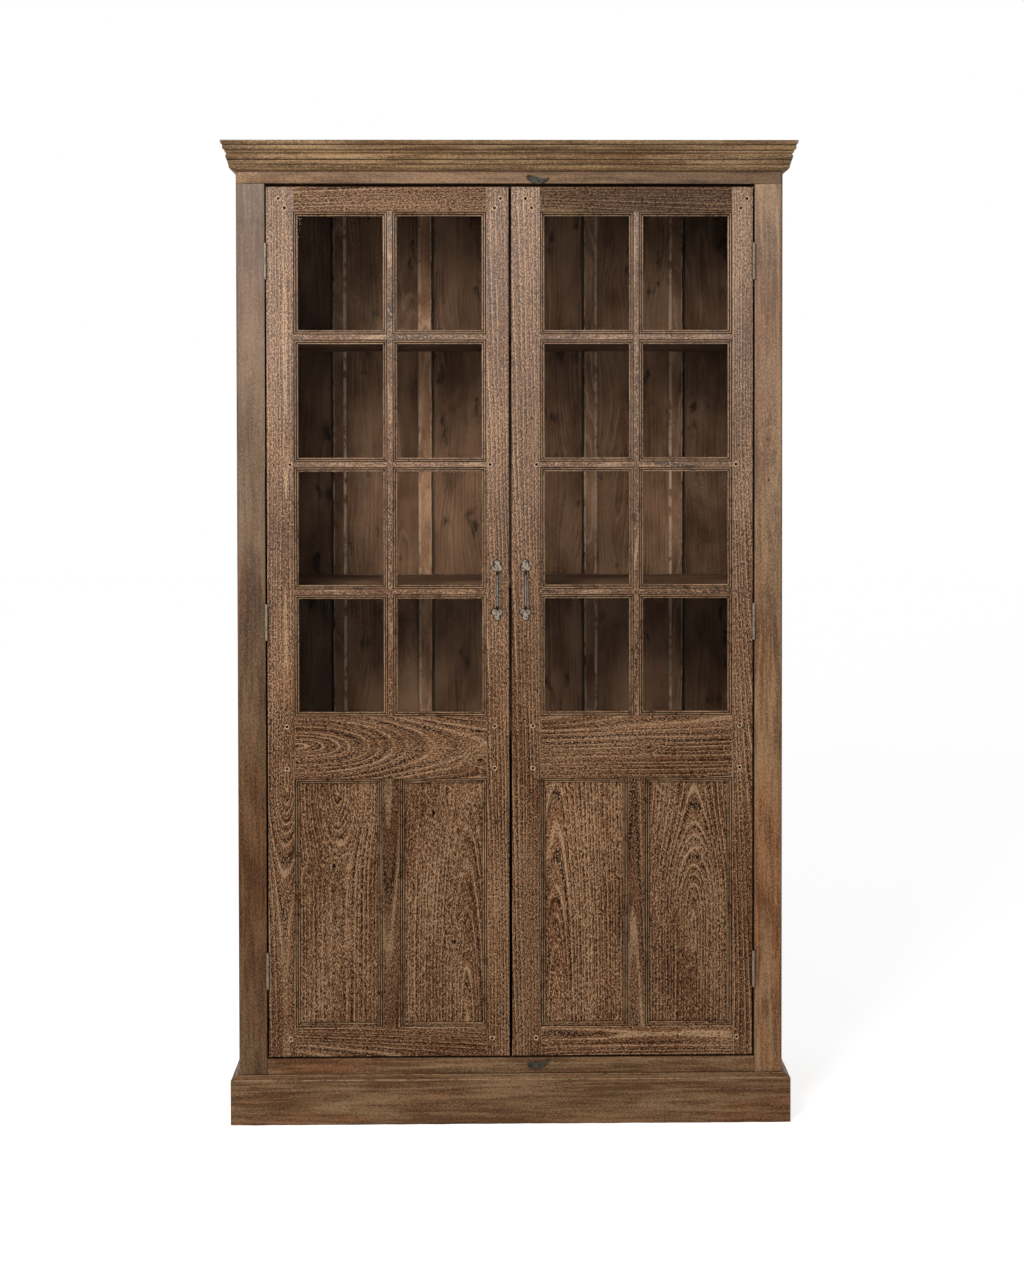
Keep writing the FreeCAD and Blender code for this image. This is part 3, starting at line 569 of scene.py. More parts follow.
@dataclass(frozen=True)
class GlassFinish:
    """Clear window glass with a breath of dusty haze on it."""

    name: str
    tint: Colour
    haze: Colour
    bending: float = 1.08

    def material(self) -> Material:
        """Build the material. Shadows pass through it, so that the inside is lit."""
        material, net, surface, output = new_material(self.name)
        film = net.stretched(net.place(), (9.0, 9.0, 5.0), 4.0, 0.6)
        tint = net.blend(net.spread(film, 0.35, 0.75), self.tint, self.haze)
        net.fill(surface, {"Roughness": 0.0, "IOR": self.bending, "Transmission Weight": 1.0, "Base Color": tint})
        ray = net.out("ShaderNodeLightPath", output="Is Shadow Ray")
        clear = net.out("ShaderNodeBsdfTransparent")
        net.fill(output, {"Surface": net.out("ShaderNodeMixShader", {0: ray, 1: surface.outputs[0], 2: clear})})
        return material


DOOR_WOOD = WoodFinish(
    "brushed door wood",
    deep=(0.03, 0.0105, 0.0045), body=(0.124, 0.049, 0.0195), pale=(0.228, 0.105, 0.05),
    lime=(0.5, 0.308, 0.172), pore=(0.009, 0.0035, 0.0018),
    ring_gap=5.8 * MM, ring_strength=1.0, pore_strength=0.92, lime_strength=0.75, fading=0.6,
)
PART_WOODS = {
    # the top rail gets almost no painted sheen, so it stays darker
    "top_rail": replace(DOOR_WOOD, name="shaded door wood", fading=0.08),
    "lock_rail": replace(DOOR_WOOD, name="lock rail wood", ring_gap=8.6 * MM),
    "left_panel": replace(DOOR_WOOD, name="panel wood", ring_gap=6.8 * MM),
    "right_panel": replace(DOOR_WOOD, name="panel wood", ring_gap=6.8 * MM),
}
FRAME_WOOD = WoodFinish(
    "aged frame wood",
    deep=(0.062, 0.028, 0.011), body=(0.112, 0.054, 0.022), pale=(0.235, 0.13, 0.063),
    lime=(0.36, 0.235, 0.13), pore=(0.028, 0.013, 0.006), blush=(0.98, 0.78, 0.68), cloud_scale=(3.4, 15.0, 15.0),
    ring_gap=9.0 * MM, ring_strength=0.35, pore_strength=0.5, lime_strength=0.35, cloud_strength=3.2,
    vein_strength=4.4, stain_strength=0.3, roughness=0.42, sheen_level=0.1, brushing=0.15 * MM, fading=0.5,
)
CORNICE_WOOD = replace(
    FRAME_WOOD, name="waxed cornice wood",
    body=(0.122, 0.062, 0.024), pale=(0.25, 0.146, 0.067), lime=(0.47, 0.32, 0.175), blush=(1.0, 0.93, 0.82),
    lime_strength=0.45, rubbing=0.9, fading=0.05,
)
FRIEZE_WOOD = replace(FRAME_WOOD, name="frieze wood", blush=(0.96, 0.9, 0.8), fading=0.18)
INNER_WOOD = WoodFinish(
    "dark inner wood",
    deep=(0.045, 0.019, 0.009), body=(0.088, 0.041, 0.02), pale=(0.205, 0.112, 0.062),
    lime=(0.3, 0.19, 0.115), pore=(0.014, 0.006, 0.003), blush=(0.75, 0.7, 0.66), cloud_scale=(5.0, 10.0, 10.0),
    ring_gap=9.0 * MM, ring_strength=0.32, pore_strength=0.22, lime_strength=0.1, cloud_strength=3.6,
    vein_strength=0.8, stain_strength=0.9, wander=24.0 * MM, brushing=0.1 * MM, fading=0.0,
)
# the stiles' edges get a strong painted highlight as rubbed pale wood
STILE_WOOD = replace(INNER_WOOD, name="rubbed and highlit inner wood", lime=(0.36, 0.265, 0.18), rubbing=1.0, stain_strength=0.4)
PEG_WOOD = replace(
    DOOR_WOOD, name="peg end grain",
    deep=(0.008, 0.005, 0.003), body=(0.008, 0.004, 0.003), pale=(0.014, 0.007, 0.004), lime=(0.56, 0.4, 0.27),
    ring_gap=1.2 * MM, lime_strength=0.0, wander=0.0, roughness=0.8, sheen_level=0.0, rubbing=0.0, grime=0.3,
    fading=0.0,
)
# the hinge knuckles' front gets a painted highlight
HINGE_IRON = IronFinish("dark hinge iron", (0.01, 0.007, 0.005), (0.045, 0.029, 0.017), (0.3, 0.225, 0.155),
                        highlight_before=-0.2012, metal=0.0)
HANDLE_IRON = IronFinish("worn handle plate", (0.045, 0.034, 0.026), (0.345, 0.275, 0.2), (0.52, 0.48, 0.44),
                         cover=0.72, metal=0.3, roughness=0.45)
# the bow's front line gets a painted highlight
BOW_IRON = IronFinish("dark handle bow", (0.006, 0.0045, 0.003), (0.022, 0.016, 0.01), (0.4, 0.385, 0.365),
                      cover=0.35, metal=0.0, highlight_before=-0.21925, gloss=0.12)
BARE_WOOD = IronFinish("bare wood", (0.3, 0.175, 0.095), (0.64, 0.435, 0.265), (0.64, 0.44, 0.27),
                       cover=0.9, metal=0.0, roughness=0.75, gloss=0.1)
# painted shadow: the black line round the handle plates
PLATE_SHADOW_BLACK = IronFinish("painted plate shadow", (0.006, 0.005, 0.004), (0.014, 0.01, 0.007), (0.02, 0.02, 0.02),
                       cover=0.2, metal=0.0, roughness=0.7, gloss=0.1)
BUTTON_IRON = IronFinish("olive button iron", (0.014, 0.011, 0.007), (0.052, 0.041, 0.023), (0.3, 0.28, 0.22),
                         cover=0.6, metal=0.1, gloss=0.3)
NAIL_IRON = IronFinish("black nail iron", (0.012, 0.01, 0.009), (0.045, 0.034, 0.026), (0.2, 0.17, 0.14),
                       cover=0.3, metal=0.5)
PANE_GLASS = GlassFinish("clear pane glass", (0.98, 0.99, 0.98), (0.9, 0.9, 0.88))


class Stock:
    """The store of materials: each finish is made once, and once more for each board with knots."""

    made: dict[str, Material] = {}

    @classmethod
    def take(cls, finish: WoodFinish | IronFinish | GlassFinish, knots: tuple[Knot, ...] = (),
             node: str = "") -> Material:
        """Return the material of a finish.

        Args:
            finish: the finish.
            knots: knots of the board, which then has a material of its own.
            node: the board's node.

        Returns:
            The material.
        """
        key = (finish.name + " " + (node if knots else "")).strip()
        if key not in cls.made:
            cls.made[key] = finish.material(knots, node) if knots else finish.material()
        return cls.made[key]


def placed(name: str, data: ID) -> Object:
    """Add an object to the scene.

    Args:
        name: the object's name.
        data: its mesh, lamp or lens.

    Returns:
        The object.
    """
    thing = bpy.data.objects.new(name, data)
    bpy.context.scene.collection.objects.link(thing)
    return thing


def hang(name: str, mesh: Mesh, body: str, node: str = "") -> Object:
    """Add a piece to the scene and hang it on its body.

    Args:
        name: the piece's name.
        mesh: its mesh.
        body: the body that it travels with.
        node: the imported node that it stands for, if there is one.

    Returns:
        The piece.
    """
    piece = placed(name, mesh)
    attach(piece, body)
    if node:
        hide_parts(node)
    LOG.info("%s: %d faces on %s", name, len(mesh.polygons), body)
    return piece


def welded(node: str) -> BMesh:
    """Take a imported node's shape and join its doubled points.

    Args:
        node: the node.

    Returns:
        The shape.
    """
    shape = bmesh.new()
    shape.from_mesh(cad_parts[node].data)
    bmesh.ops.remove_doubles(shape, verts=shape.verts, dist=WELD)
    return shape


def as_mesh(shape: BMesh, name: str, *materials: Material) -> Mesh:
    """Turn a shape into a mesh.

    Args:
        shape: the shape, which is freed.
        name: the mesh's name.
        materials: its materials.

    Returns:
        The mesh.
    """
    mesh = bpy.data.meshes.new(name)
    shape.to_mesh(mesh)
    shape.free()
    for material in materials:
        mesh.materials.append(material)
    return mesh


def applied(thing: Object, name: str) -> Mesh:
    """Apply an object's modifiers and remove the object.

    Args:
        thing: the object.
        name: the name of the mesh that is left.

    Returns:
        The mesh.
    """
    mesh = bpy.data.meshes.new_from_object(thing.evaluated_get(bpy.context.evaluated_depsgraph_get()))
    bpy.data.objects.remove(thing)
    mesh.name = name
    return mesh


@dataclass(frozen=True)
class Moulding:
    """The doors' moulding: how far its parts lie behind the board's face, in millimetres, and how they are marked:
    painted shade in its hollows, worn wood with a painted highlight on its rounds.
    """

    start: float = 0.45
    end: float = 7.5
    flat_end: float = 5.3
    quirk_end: float = 1.0
    bead_end: float = 1.6
    grooves: tuple[float, ...] = (2.6, 4.6)
    groove_half: float = 0.3
    edgewise: float = 0.3
    slanted: float = 0.97

    def mark(self, below: float, facing: float) -> float | None:
        """Say how a face is marked: quirk and groove get black painted shade, bead and fillet are rubbed bare with a
        painted highlight.

        Args:
            below: how far the middle of the face lies behind the front of the board.
            facing: Y of its normal.

        Returns:
            The mark for its loops, or None where the face is no part of the moulding.
        """
        if not self.start < below < self.end or facing > self.edgewise:
            return None
        if facing > -self.edgewise:
            # the quirk's side walls: painted shade
            return -0.9 if below > self.quirk_end else None
        if below > self.flat_end:
            return None
        if facing > -self.slanted:
            # bead: worn wood with a painted highlight; the slope past it: painted shade
            return 0.75 if below < self.bead_end else -0.6
        # grooves: black painted shade; fillets: worn wood with a painted highlight
        return BLACK if any(abs(below - groove) < self.groove_half for groove in self.grooves) else 0.7


MOULDING = Moulding()


@dataclass
class Board:
    """One wooden node of the model, dressed as sawn and worn timber."""

    node: str
    body: str
    grain: Grain
    finish: WoodFinish
    slot: str
    cut: Cut = Cut.RIFT
    seed: int = 1
    tone: float = 0.0
    fade: float = 0.0
    arris: float = 0.8 * MM
    steps: int = 2
    pitch: float = 18 * MM
    ruffle: float = 0.35 * MM
    # tone added to each piece in turn; on the back boards and stiles it is painted light and shade
    tones_and_painted_light: tuple[float, ...] = ()
    # spans of x painted black: painted shadow in the board joints
    seam_shadows: tuple[tuple[float, float], ...] = ()
    moulded: bool = False
    # faces that look down get painted shade
    shaded: bool = False
    # spans of x painted pale on the front: painted highlight stripes
    highlight_strips: tuple[tuple[float, float], ...] = ()
    # the box whose edges get black painted shade where they close against a gap
    gap_shade: tuple[float, ...] = ()
    gap_shade_depth: float = 6.0 * MM
    gap_shade_reach: float = 1.2 * MM
    knots: tuple[Knot, ...] = ()
    figure: Figure | None = None
    waves: tuple[float, float] = (21.0, 75.0)
    rubbed_level: float = 0.35
    flat_angle: float = math.radians(0.6)
    smooth_angle: float = math.radians(24)
    sharp_angle: float = math.radians(28)

    def axes(self) -> list[Vector]:
        """Return the directions along the grain, across the board and into it."""
        return [Vector([float(axis == number) for axis in range(3)]) for number in self.grain.value]

    def can_round(self, edge: BMEdge, width: float, worn: BMLayerItem) -> bool:
        """Say whether an edge is an outer one with room on both sides to be rounded over.

        Args:
            edge: the edge.
            width: how far it is rounded over.
            worn: the layer that marks rounded faces.

        Returns:
            Whether it can be rounded.
        """
        if len(edge.link_faces) != 2 or not edge.is_convex or edge.calc_face_angle(0.0) < self.sharp_angle:
            return False
        if edge.calc_length() < 3.0 * width:
            return False
        for face in edge.link_faces:
            longest = max(side.calc_length() for side in face.edges)
            if face.loops[0][worn] > 0.5 or face.calc_area() < 2.4 * width * longest:
                return False
        return True

    def slice(self, shape: BMesh) -> None:
        """Cut the flat faces across the grain at every pitch, so that long arrises can waver.

        Args:
            shape: the board's shape.
        """
        along = self.axes()[0]
        places = [vert.co.dot(along) for vert in shape.verts]
        start, end = min(places), max(places)
        count = int((end - start) / self.pitch)
        cuts = [(along * (start + (end - start) * number / count), along) for number in range(1, count)]
        cuts += [(Vector((limit, 0, 0)), Vector((1, 0, 0))) for strip in self.highlight_strips + self.seam_shadows for limit in strip]
        if self.gap_shade:
            cuts.append((Vector((0, min(vert.co.y for vert in shape.verts) + self.gap_shade_depth, 0)), Vector((0, 1, 0))))
        for point, normal in cuts:
            bmesh.ops.bisect_plane(shape, geom=shape.verts[:] + shape.edges[:] + shape.faces[:], dist=CUT_PLAY,
                                   plane_co=point, plane_no=normal)

    def softened(self) -> BMesh:
        """Return the node's shape with flat faces joined and its arrises rounded over.

        Returns:
            A mesh whose loops carry "arris", from 1 on rounded outer edges, worn wood with a painted highlight, to
            BLACK, painted shade in a dark seam.
        """
        shape = welded(self.node)
        bmesh.ops.dissolve_limit(shape, angle_limit=self.flat_angle, verts=shape.verts, edges=shape.edges)
        self.slice(shape)
        worn = shape.loops.layers.float.new("arris")
        for width in (self.arris, 0.4 * self.arris):
            sharp = [edge for edge in shape.edges if self.can_round(edge, width, worn)]
            if sharp:
                rounded = bmesh.ops.bevel(shape, geom=sharp, offset=width, offset_type="OFFSET",
                                          segments=self.steps, profile=0.5, affect="EDGES", clamp_overlap=False)
                for face in rounded["faces"]:
                    # rounded arrises: worn wood with a painted highlight
                    self.paint(face, worn, WORN_AND_LIT)
        self.waver(shape, worn)
        self.mark_wear_and_shade(shape, worn)
        return shape

    @staticmethod
    def paint(face: BMFace, worn: BMLayerItem, mark: float) -> None:
        """Give all the loops of a face one mark."""
        for loop in face.loops:
            loop[worn] = mark

    def mark_wear_and_shade(self, shape: BMesh, worn: BMLayerItem) -> None:
        """Mark the pale stripes as painted highlights, the joints, the gap edges and the faces that look down with
        painted shade, and the mouldings with painted shade and worn wood with painted highlights.

        Args:
            shape: the board's shape.
            worn: the layer for the marks.
        """
        front = min(vert.co.y for vert in shape.verts)
        for face in shape.faces:
            middle = face.calc_center_median()
            mark = None
            # painted highlight: pale stripes along rounded edges
            if any(low < middle.x < high for low, high in self.highlight_strips) and face.normal.y < -0.5:
                mark = 0.8
            # painted shadow: black in the board joints
            if any(low < middle.x < high for low, high in self.seam_shadows) and face.normal.y < 0.5:
                mark = BLACK
            if self.moulded:
                mark = MOULDING.mark((middle.y - front) / MM, face.normal.y)
            # painted shade on faces that look down
            if self.shaded and face.normal.z < -0.15:
                mark = -0.34
            # painted shade: black on the edges that close against a gap
            if self.gap_shade and abs(face.normal.y) < 0.95 and middle.y < front + self.gap_shade_depth:
                left, right, low, high = self.gap_shade
                if min(middle.x - left, right - middle.x, middle.z - low, high - middle.z) < self.gap_shade_reach:
                    mark = BLACK
            if mark is not None:
                self.paint(face, worn, mark)

    def waver(self, shape: BMesh, worn: BMLayerItem) -> None:
        """Rub the rounded arrises down unevenly, by up to the ruffle.

        Args:
            shape: the board's shape.
            worn: the layer that marks rounded faces.
        """
        shape.normal_update()
        long, short = self.waves
        moves = []
        for vert in {vert for face in shape.faces if face.loops[0][worn] > 0.5 for vert in face.verts}:
            rise = noise.noise(vert.co * long + Vector((self.seed, 0, 0))) + 0.6 * noise.noise(vert.co * short)
            moves.append((vert, vert.normal * self.ruffle * min(max(self.rubbed_level + rise, 0.0), 1.0)))
        for vert, move in moves:
            vert.co -= move

    def pieces(self, shape: BMesh) -> list[list[BMVert]]:
        """Find the separate pieces in the mesh.

        Args:
            shape: the board's shape.

        Returns:
            The vertices of each piece, the pieces from left to right and upwards.
        """
        seen = set()
        found = []
        for first in shape.verts:
            if first in seen:
                continue
            seen.add(first)
            group = [first]
            for vert in group:
                for edge in vert.link_edges:
                    other = edge.other_vert(vert)
                    if other not in seen:
                        seen.add(other)
                        group.append(other)
            found.append(group)
        return sorted(found, key=lambda group: (round(min(vert.co.x for vert in group), 3),
                                                round(min(vert.co.z for vert in group), 3)))

    def mark_grain(self, shape: BMesh) -> None:
        """Write each piece's own plank coordinates and character on its vertices.

        Args:
            shape: the board's shape.
        """
        axes = self.axes()
        layers = shape.verts.layers.float_vector
        plank, character, sweep = (layers.new(name) for name in ("plank", "character", "sweep"))
        eyes = [layers.new(f"knot_{index}") for index in range(len(self.knots))]
        chance = random.Random(self.seed)
        near, far, slope = self.cut.value
        for number, group in enumerate(self.pieces(shape)):
            low = Vector([min(vert.co[axis] for vert in group) for axis in range(3)])
            high = Vector([max(vert.co[axis] for vert in group) for axis in range(3)])
            middle = (low + high) / 2
            centre = middle.dot(axes[0])
            width = abs((high - low).dot(axes[1]))
            half = abs((high - low).dot(axes[0])) / 2
            start = Vector((chance.uniform(0.0, 4.0), chance.uniform(-0.3, 0.3) * width, 0.0))
            turn = chance.choice((-1, 1)) * chance.uniform(0.4, 1.0) * slope
            figure = Figure(chance.uniform(near, far), turn, 0.03, centre + chance.uniform(-0.6, 0.6) * half)
            tone = self.tone + chance.uniform(-0.06, 0.06)
            if self.figure:
                figure = self.figure
                start.y = -figure.side
                tone = self.tone
            # per-piece tones, partly painted light and shade
            if self.tones_and_painted_light:
                tone += self.tones_and_painted_light[number % len(self.tones_and_painted_light)]
            bend = Vector((figure.slope, figure.centre - centre + start.x, 0.0))
            for vert in group:
                away = vert.co - middle
                vert[plank] = start + Vector([away.dot(axis) for axis in axes])
                vert[character] = (figure.heart, tone + self.fade * away.dot(axes[0]) / half, figure.limit)
                vert[sweep] = bend
                for layer, knot in zip(eyes, self.knots):
                    spot = Vector((knot.x, low.y, knot.z)) - middle
                    vert[layer] = start + Vector([spot.dot(axis) for axis in axes])

    def make(self) -> Object:
        """Build the board, hang it on its body and return it."""
        shape = self.softened()
        self.mark_grain(shape)
        mesh = as_mesh(shape, self.node + "_timber", Stock.take(self.finish, self.knots, self.node))
        mesh.shade_smooth()
        mesh.set_sharp_from_angle(angle=self.smooth_angle)
        return hang(self.node + "_timber", mesh, self.body, self.node)


@dataclass
class Carcass:
    """The standing box: posts, rails, sides, plinth and cornice."""

    body: str = "carcass"
    slot: str = "frame_wood"
    far: float = 9.0

    def board(self, node: str, grain: Grain, cut: Cut, seed: int, tone: float, **more: object) -> Board:
        """Return one board of the box, with more of its fields by name."""
        given = {"finish": FRAME_WOOD, "slot": self.slot} | more
        return Board(node, self.body, grain, cut=cut, seed=seed, tone=tone, **given)

    def boards(self) -> list[Board]:
        """Return the boards of the outer box. Their edges towards the doors get black painted shade."""
        far = self.far
        left = (-far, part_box("post_left")[1][0], -far, far)
        right = (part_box("post_right")[0][0], far, -far, far)
        above = (-far, far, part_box("frieze_rail")[0][2], far)
        below = (-far, far, -far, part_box("sill_rail")[1][2])
        knots = (Knot(0.547, 1.456, 0.01), Knot(0.55, 1.369, 0.011))
        worn = {"arris": 1.2 * MM, "ruffle": 0.9 * MM}
        made = [
            self.board("post_left", Grain.UPRIGHT, Cut.QUARTER, 11, -0.3, gap_shade=left, **worn),
            self.board("post_right", Grain.UPRIGHT, Cut.QUARTER, 12, 0.38, gap_shade=right, knots=knots, **worn),
            self.board("frieze_rail", Grain.LEVEL, Cut.QUARTER, 13, -0.05, fade=-0.32, finish=FRIEZE_WOOD, gap_shade=above),
            self.board("sill_rail", Grain.LEVEL, Cut.QUARTER, 14, 0.1, gap_shade=below),
            self.board("side_left", Grain.UPRIGHT, Cut.PLAIN, 15, 0.0),
            self.board("side_right", Grain.UPRIGHT, Cut.PLAIN, 16, 0.0),
        ]
        for name, grain in (("front", Grain.LEVEL), ("left", Grain.INWARD), ("right", Grain.INWARD)):
            made.append(self.board("plinth_" + name, grain, Cut.RIFT, 20, 0.0, arris=1.5 * MM, ruffle=0.8 * MM))
            # the cornice's downward faces get painted shade
            made.append(self.board("cornice_" + name, grain, Cut.RIFT, 24, 0.04, finish=CORNICE_WOOD,
                                   slot="cornice_wood", arris=0.6 * MM, ruffle=0.5 * MM, shaded=True))
        return made

    def make(self) -> list[Object]:
        """Build the outer box and return its objects."""
        return [board.make() for board in self.boards()]


@dataclass
class Inside:
    """The boards behind the doors: top, floor, shelves, door stop and back."""

    body: str = "carcass"
    slot: str = "inner_wood"
    level: tuple[str, ...] = ("top_board", "floor_board", "shelf_upper", "shelf_middle", "shelf_lower",
                              "door_stop", "back_unit_rails")

    def make(self) -> list[Object]:
        """Build the inner boards and return their objects."""
        made = [Board(node, self.body, Grain.LEVEL, INNER_WOOD, self.slot, Cut.RIFT, 30 + number, -0.25)
                for number, node in enumerate(self.level)]
        made += [
            Board("back_boards", self.body, Grain.UPRIGHT, INNER_WOOD, self.slot, Cut.PLAIN, 50,
                  # painted shade: the outer back boards darker, as in the sides' shadow
                  tones_and_painted_light=(-0.45, -0.1, -0.42),
                  # painted shadows in the joints, one behind the gap between the doors
                  seam_shadows=((0.0008, 0.0086), (-0.176, -0.1728), (0.1728, 0.176), (-0.4155, -0.412), (0.412, 0.4155))),
            Board("back_unit_stiles", self.body, Grain.UPRIGHT, STILE_WOOD, self.slot, Cut.RIFT, 51,
                  # painted light: the second stile brighter, as if lit
                  arris=3.5 * MM, steps=4, ruffle=2.4 * MM, tones_and_painted_light=(-0.1, 0.75, 0.25, 0.1),
                  # painted highlight stripes along the stiles' rounded edges
                  highlight_strips=((-0.385, -0.376), (-0.212, -0.204), (0.203, 0.212), (0.376, 0.384))),
            Board("back_unit_panels", self.body, Grain.UPRIGHT, INNER_WOOD, self.slot, Cut.PLAIN, 52,
                  tones_and_painted_light=(0.05, 0.0)),
            Board("shelf_cleats", self.body, Grain.INWARD, INNER_WOOD, self.slot, Cut.RIFT, 60, -0.2),
        ]
        return [board.make() for board in made]


def dress(node: str, material: Material) -> None:
    """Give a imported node's own object a material.

    Args:
        node: the node.
        material: the material.
    """
    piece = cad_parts[node]
    if not piece.material_slots:
        piece.data.materials.append(material)
    for place in piece.material_slots:
        place.material = material


@dataclass
class GlazedDoor:
    """One door: its frame, bars, panels, panes, beads and pegs."""

    door: Door
    seed: int
    slot: str = "door_wood"
    knots: dict[str, tuple[Knot, ...]] = field(default_factory=dict)
    figures: dict[str, Figure] = field(default_factory=dict)
    tones: dict[str, tuple[float, float]] = field(default_factory=dict)
    upright: tuple[str, ...] = ("hinge_stile", "meeting_stile", "muntin", "upright_bar", "left_panel",
                                "right_panel")
    level: tuple[str, ...] = ("top_rail", "lock_rail", "bottom_rail", "cross_bars")

    def board(self, part: str, grain: Grain, number: int) -> Board:
        """Return one wooden part of the door.

        Args:
            part: the part's name.
            grain: which way its grain runs.
            number: what is added to the door's seed.

        Returns:
            The board.
        """
        return Board(self.door.value + "_" + part, self.door.value, grain, PART_WOODS.get(part, DOOR_WOOD),
                     self.slot, Cut.RIFT, self.seed + number, *self.tones.get(part, (0.0, 0.0)),
                     # the door's edges get black painted shade where they close against the frame
                     moulded=not part.endswith("panel"), gap_shade=self.outline(), knots=self.knots.get(part, ()),
                     figure=self.figures.get(part))

    def outline(self) -> tuple[float, float, float, float]:
        """Return the door's left, right, lowest and highest limits."""
        boxes = [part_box(self.door.value + "_" + part) for part in ("hinge_stile", "meeting_stile")]
        return (min(box[0][0] for box in boxes), max(box[1][0] for box in boxes), boxes[0][0][2], boxes[0][1][2])

    def make(self) -> list[Object]:
        """Build the door's wood, dress its glass and return the new objects."""
        boards = [self.board(part, Grain.UPRIGHT, number) for number, part in enumerate(self.upright)]
        boards += [self.board(part, Grain.LEVEL, 20 + number) for number, part in enumerate(self.level)]
        name = self.door.value
        boards.append(Board(name + "_glazing_beads", name, Grain.UPRIGHT, DOOR_WOOD, self.slot, Cut.RIFT,
                            self.seed + 40, -0.2, arris=0.3 * MM, pitch=60 * MM, ruffle=0.1 * MM))
        boards.append(Board(name + "_pegs", name, Grain.INWARD, PEG_WOOD, "peg_wood", Cut.PLAIN,
                            self.seed + 41, arris=0.3 * MM, ruffle=0.0, figure=Figure(0.0, 0.0)))
        dress(name + "_glass", Stock.take(PANE_GLASS))
        return [board.make() for board in boards]


LEFT_DOOR = GlazedDoor(
    Door.LEFT, 100,
    knots={
        "left_panel": (Knot(-0.3764, 0.5469, 0.017), Knot(-0.43, 0.535, 0.009)),
        "right_panel": (Knot(-0.1644, 0.6604, 0.017), Knot(-0.1203, 0.3838, 0.015)),
        "lock_rail": (Knot(-0.064, 0.775, 0.016),),
        "top_rail": (Knot(-0.12, 1.956, 0.008),),
    },
    figures={
        "lock_rail": Figure(0.048, 0.3, 0.052, -0.32, 0.004),
        "bottom_rail": Figure(0.05, 0.05, 0.03, -0.25, -0.04),
        "left_panel": Figure(0.026, -0.34, 0.028, 0.65, -0.003),
        "right_panel": Figure(0.04, 0.1, 0.03, 0.5, 0.05),
        "hinge_stile": Figure(0.03, -0.24, 0.026, 0.65, 0.006),
        "meeting_stile": Figure(0.06, 0.02, 0.03, 1.0, -0.045),
        "top_rail": Figure(0.06, 0.02, 0.03, -0.2, 0.055),
    },
    tones={"hinge_stile": (0.05, 0.14), "meeting_stile": (0.1, 0.06), "top_rail": (-0.12, -0.05),
           "muntin": (-0.25, 0.0), "bottom_rail": (-0.08, 0.0)},
)
RIGHT_DOOR = GlazedDoor(
    Door.RIGHT, 200,
    knots={"lock_rail": (Knot(0.295, 0.8, 0.01),), "right_panel": (Knot(0.38, 0.34, 0.009),)},
    figures={
        "lock_rail": Figure(0.06, 0.04, 0.03, 0.26, 0.075),
        "left_panel": Figure(0.03, 0.1, 0.03, 0.45, -0.06),
        "right_panel": Figure(0.034, 0.28, 0.034, 0.54, 0.012),
        "hinge_stile": Figure(0.04, -0.06, 0.03, 1.2, 0.04),
        "meeting_stile": Figure(0.06, 0.02, 0.03, 1.0, -0.055),
        "top_rail": Figure(0.05, 0.03, 0.03, 0.25, -0.04),
    },
    tones={"hinge_stile": (0.08, 0.06), "meeting_stile": (0.04, 0.14), "top_rail": (-0.42, 0.0),
           "muntin": (-0.12, 0.0), "bottom_rail": (0.08, 0.0), "left_panel": (0.14, 0.0)},
)


@dataclass
class Castings:
    """Iron pieces that are smoothed from their solids: handles, buttons and nails."""

    node: str
    body: str
    finish: IronFinish
    slot: str
    grid: float = 0.5 * MM
    passes: int = 3
    bow: IronFinish | None = None
    bow_half: float = 41 * MM

    def melted(self) -> Mesh:
        """Return the node's shape with its arrises melted by a fine grid and smoothing."""
        rough = placed(self.node + "_rough", as_mesh(welded(self.node), self.node + "_rough"))
        grid = rough.modifiers.new("grid", "REMESH")
        grid.mode = "VOXEL"
        grid.voxel_size = self.grid
        soft = rough.modifiers.new("soft", "SMOOTH")
        soft.factor = 0.5
        soft.iterations = self.passes
        return applied(rough, self.node + "_iron")

    def make(self) -> Object:
        """Build the iron piece, with a bow of another finish where it has one, and return it."""
        mesh = self.melted()
        mesh.shade_smooth()
        mesh.materials.clear()
        mesh.materials.append(Stock.take(self.finish))
        if self.bow:
            mesh.materials.append(Stock.take(self.bow))
            low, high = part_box(self.node)
            middle = (low[2] + high[2]) / 2
            for face in mesh.polygons:
                face.material_index = int(abs(face.center.z - middle) < self.bow_half)
        return hang(self.node + "_iron", mesh, self.body, self.node)


@dataclass
class PlateShadow:
    """The thin black line round the two end plates of a pull handle: painted shadow."""

    door: Door
    margin: float = 1.6 * MM
    thickness: float = 0.35 * MM
    span: float = 103.0 * MM
    segments: int = 28
    lobes: tuple[tuple[float, float, float], ...] = (
        (0.0, 6.0 * MM, 6.5 * MM), (-5.3 * MM, -4.6 * MM, 6.1 * MM), (5.3 * MM, -4.6 * MM, 6.1 * MM))

    def make(self) -> Object:
        """Lay a thin disc under every lobe of the plates, hang them on the door and return them."""
        name = self.door.value
        low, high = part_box(name + "_pull_handle")
        shape = bmesh.new()
        for up in (1, -1):
            for across, rise, radius in self.lobes:
                place = Vector(((low[0] + high[0]) / 2 + across, high[1] - self.thickness / 2,
                                (low[2] + high[2]) / 2 + up * (self.span / 2 + rise)))
                turned = Matrix.Translation(place) @ Euler((math.pi / 2, 0, 0)).to_matrix().to_4x4()
                wide = radius + self.margin
                bmesh.ops.create_cone(shape, cap_ends=True, segments=self.segments, radius1=wide, radius2=wide,
                                      depth=self.thickness, matrix=turned)
        mesh = as_mesh(shape, name + "_handle_wax", Stock.take(PLATE_SHADOW_BLACK))
        return hang(name + "_handle_wax", mesh, name)


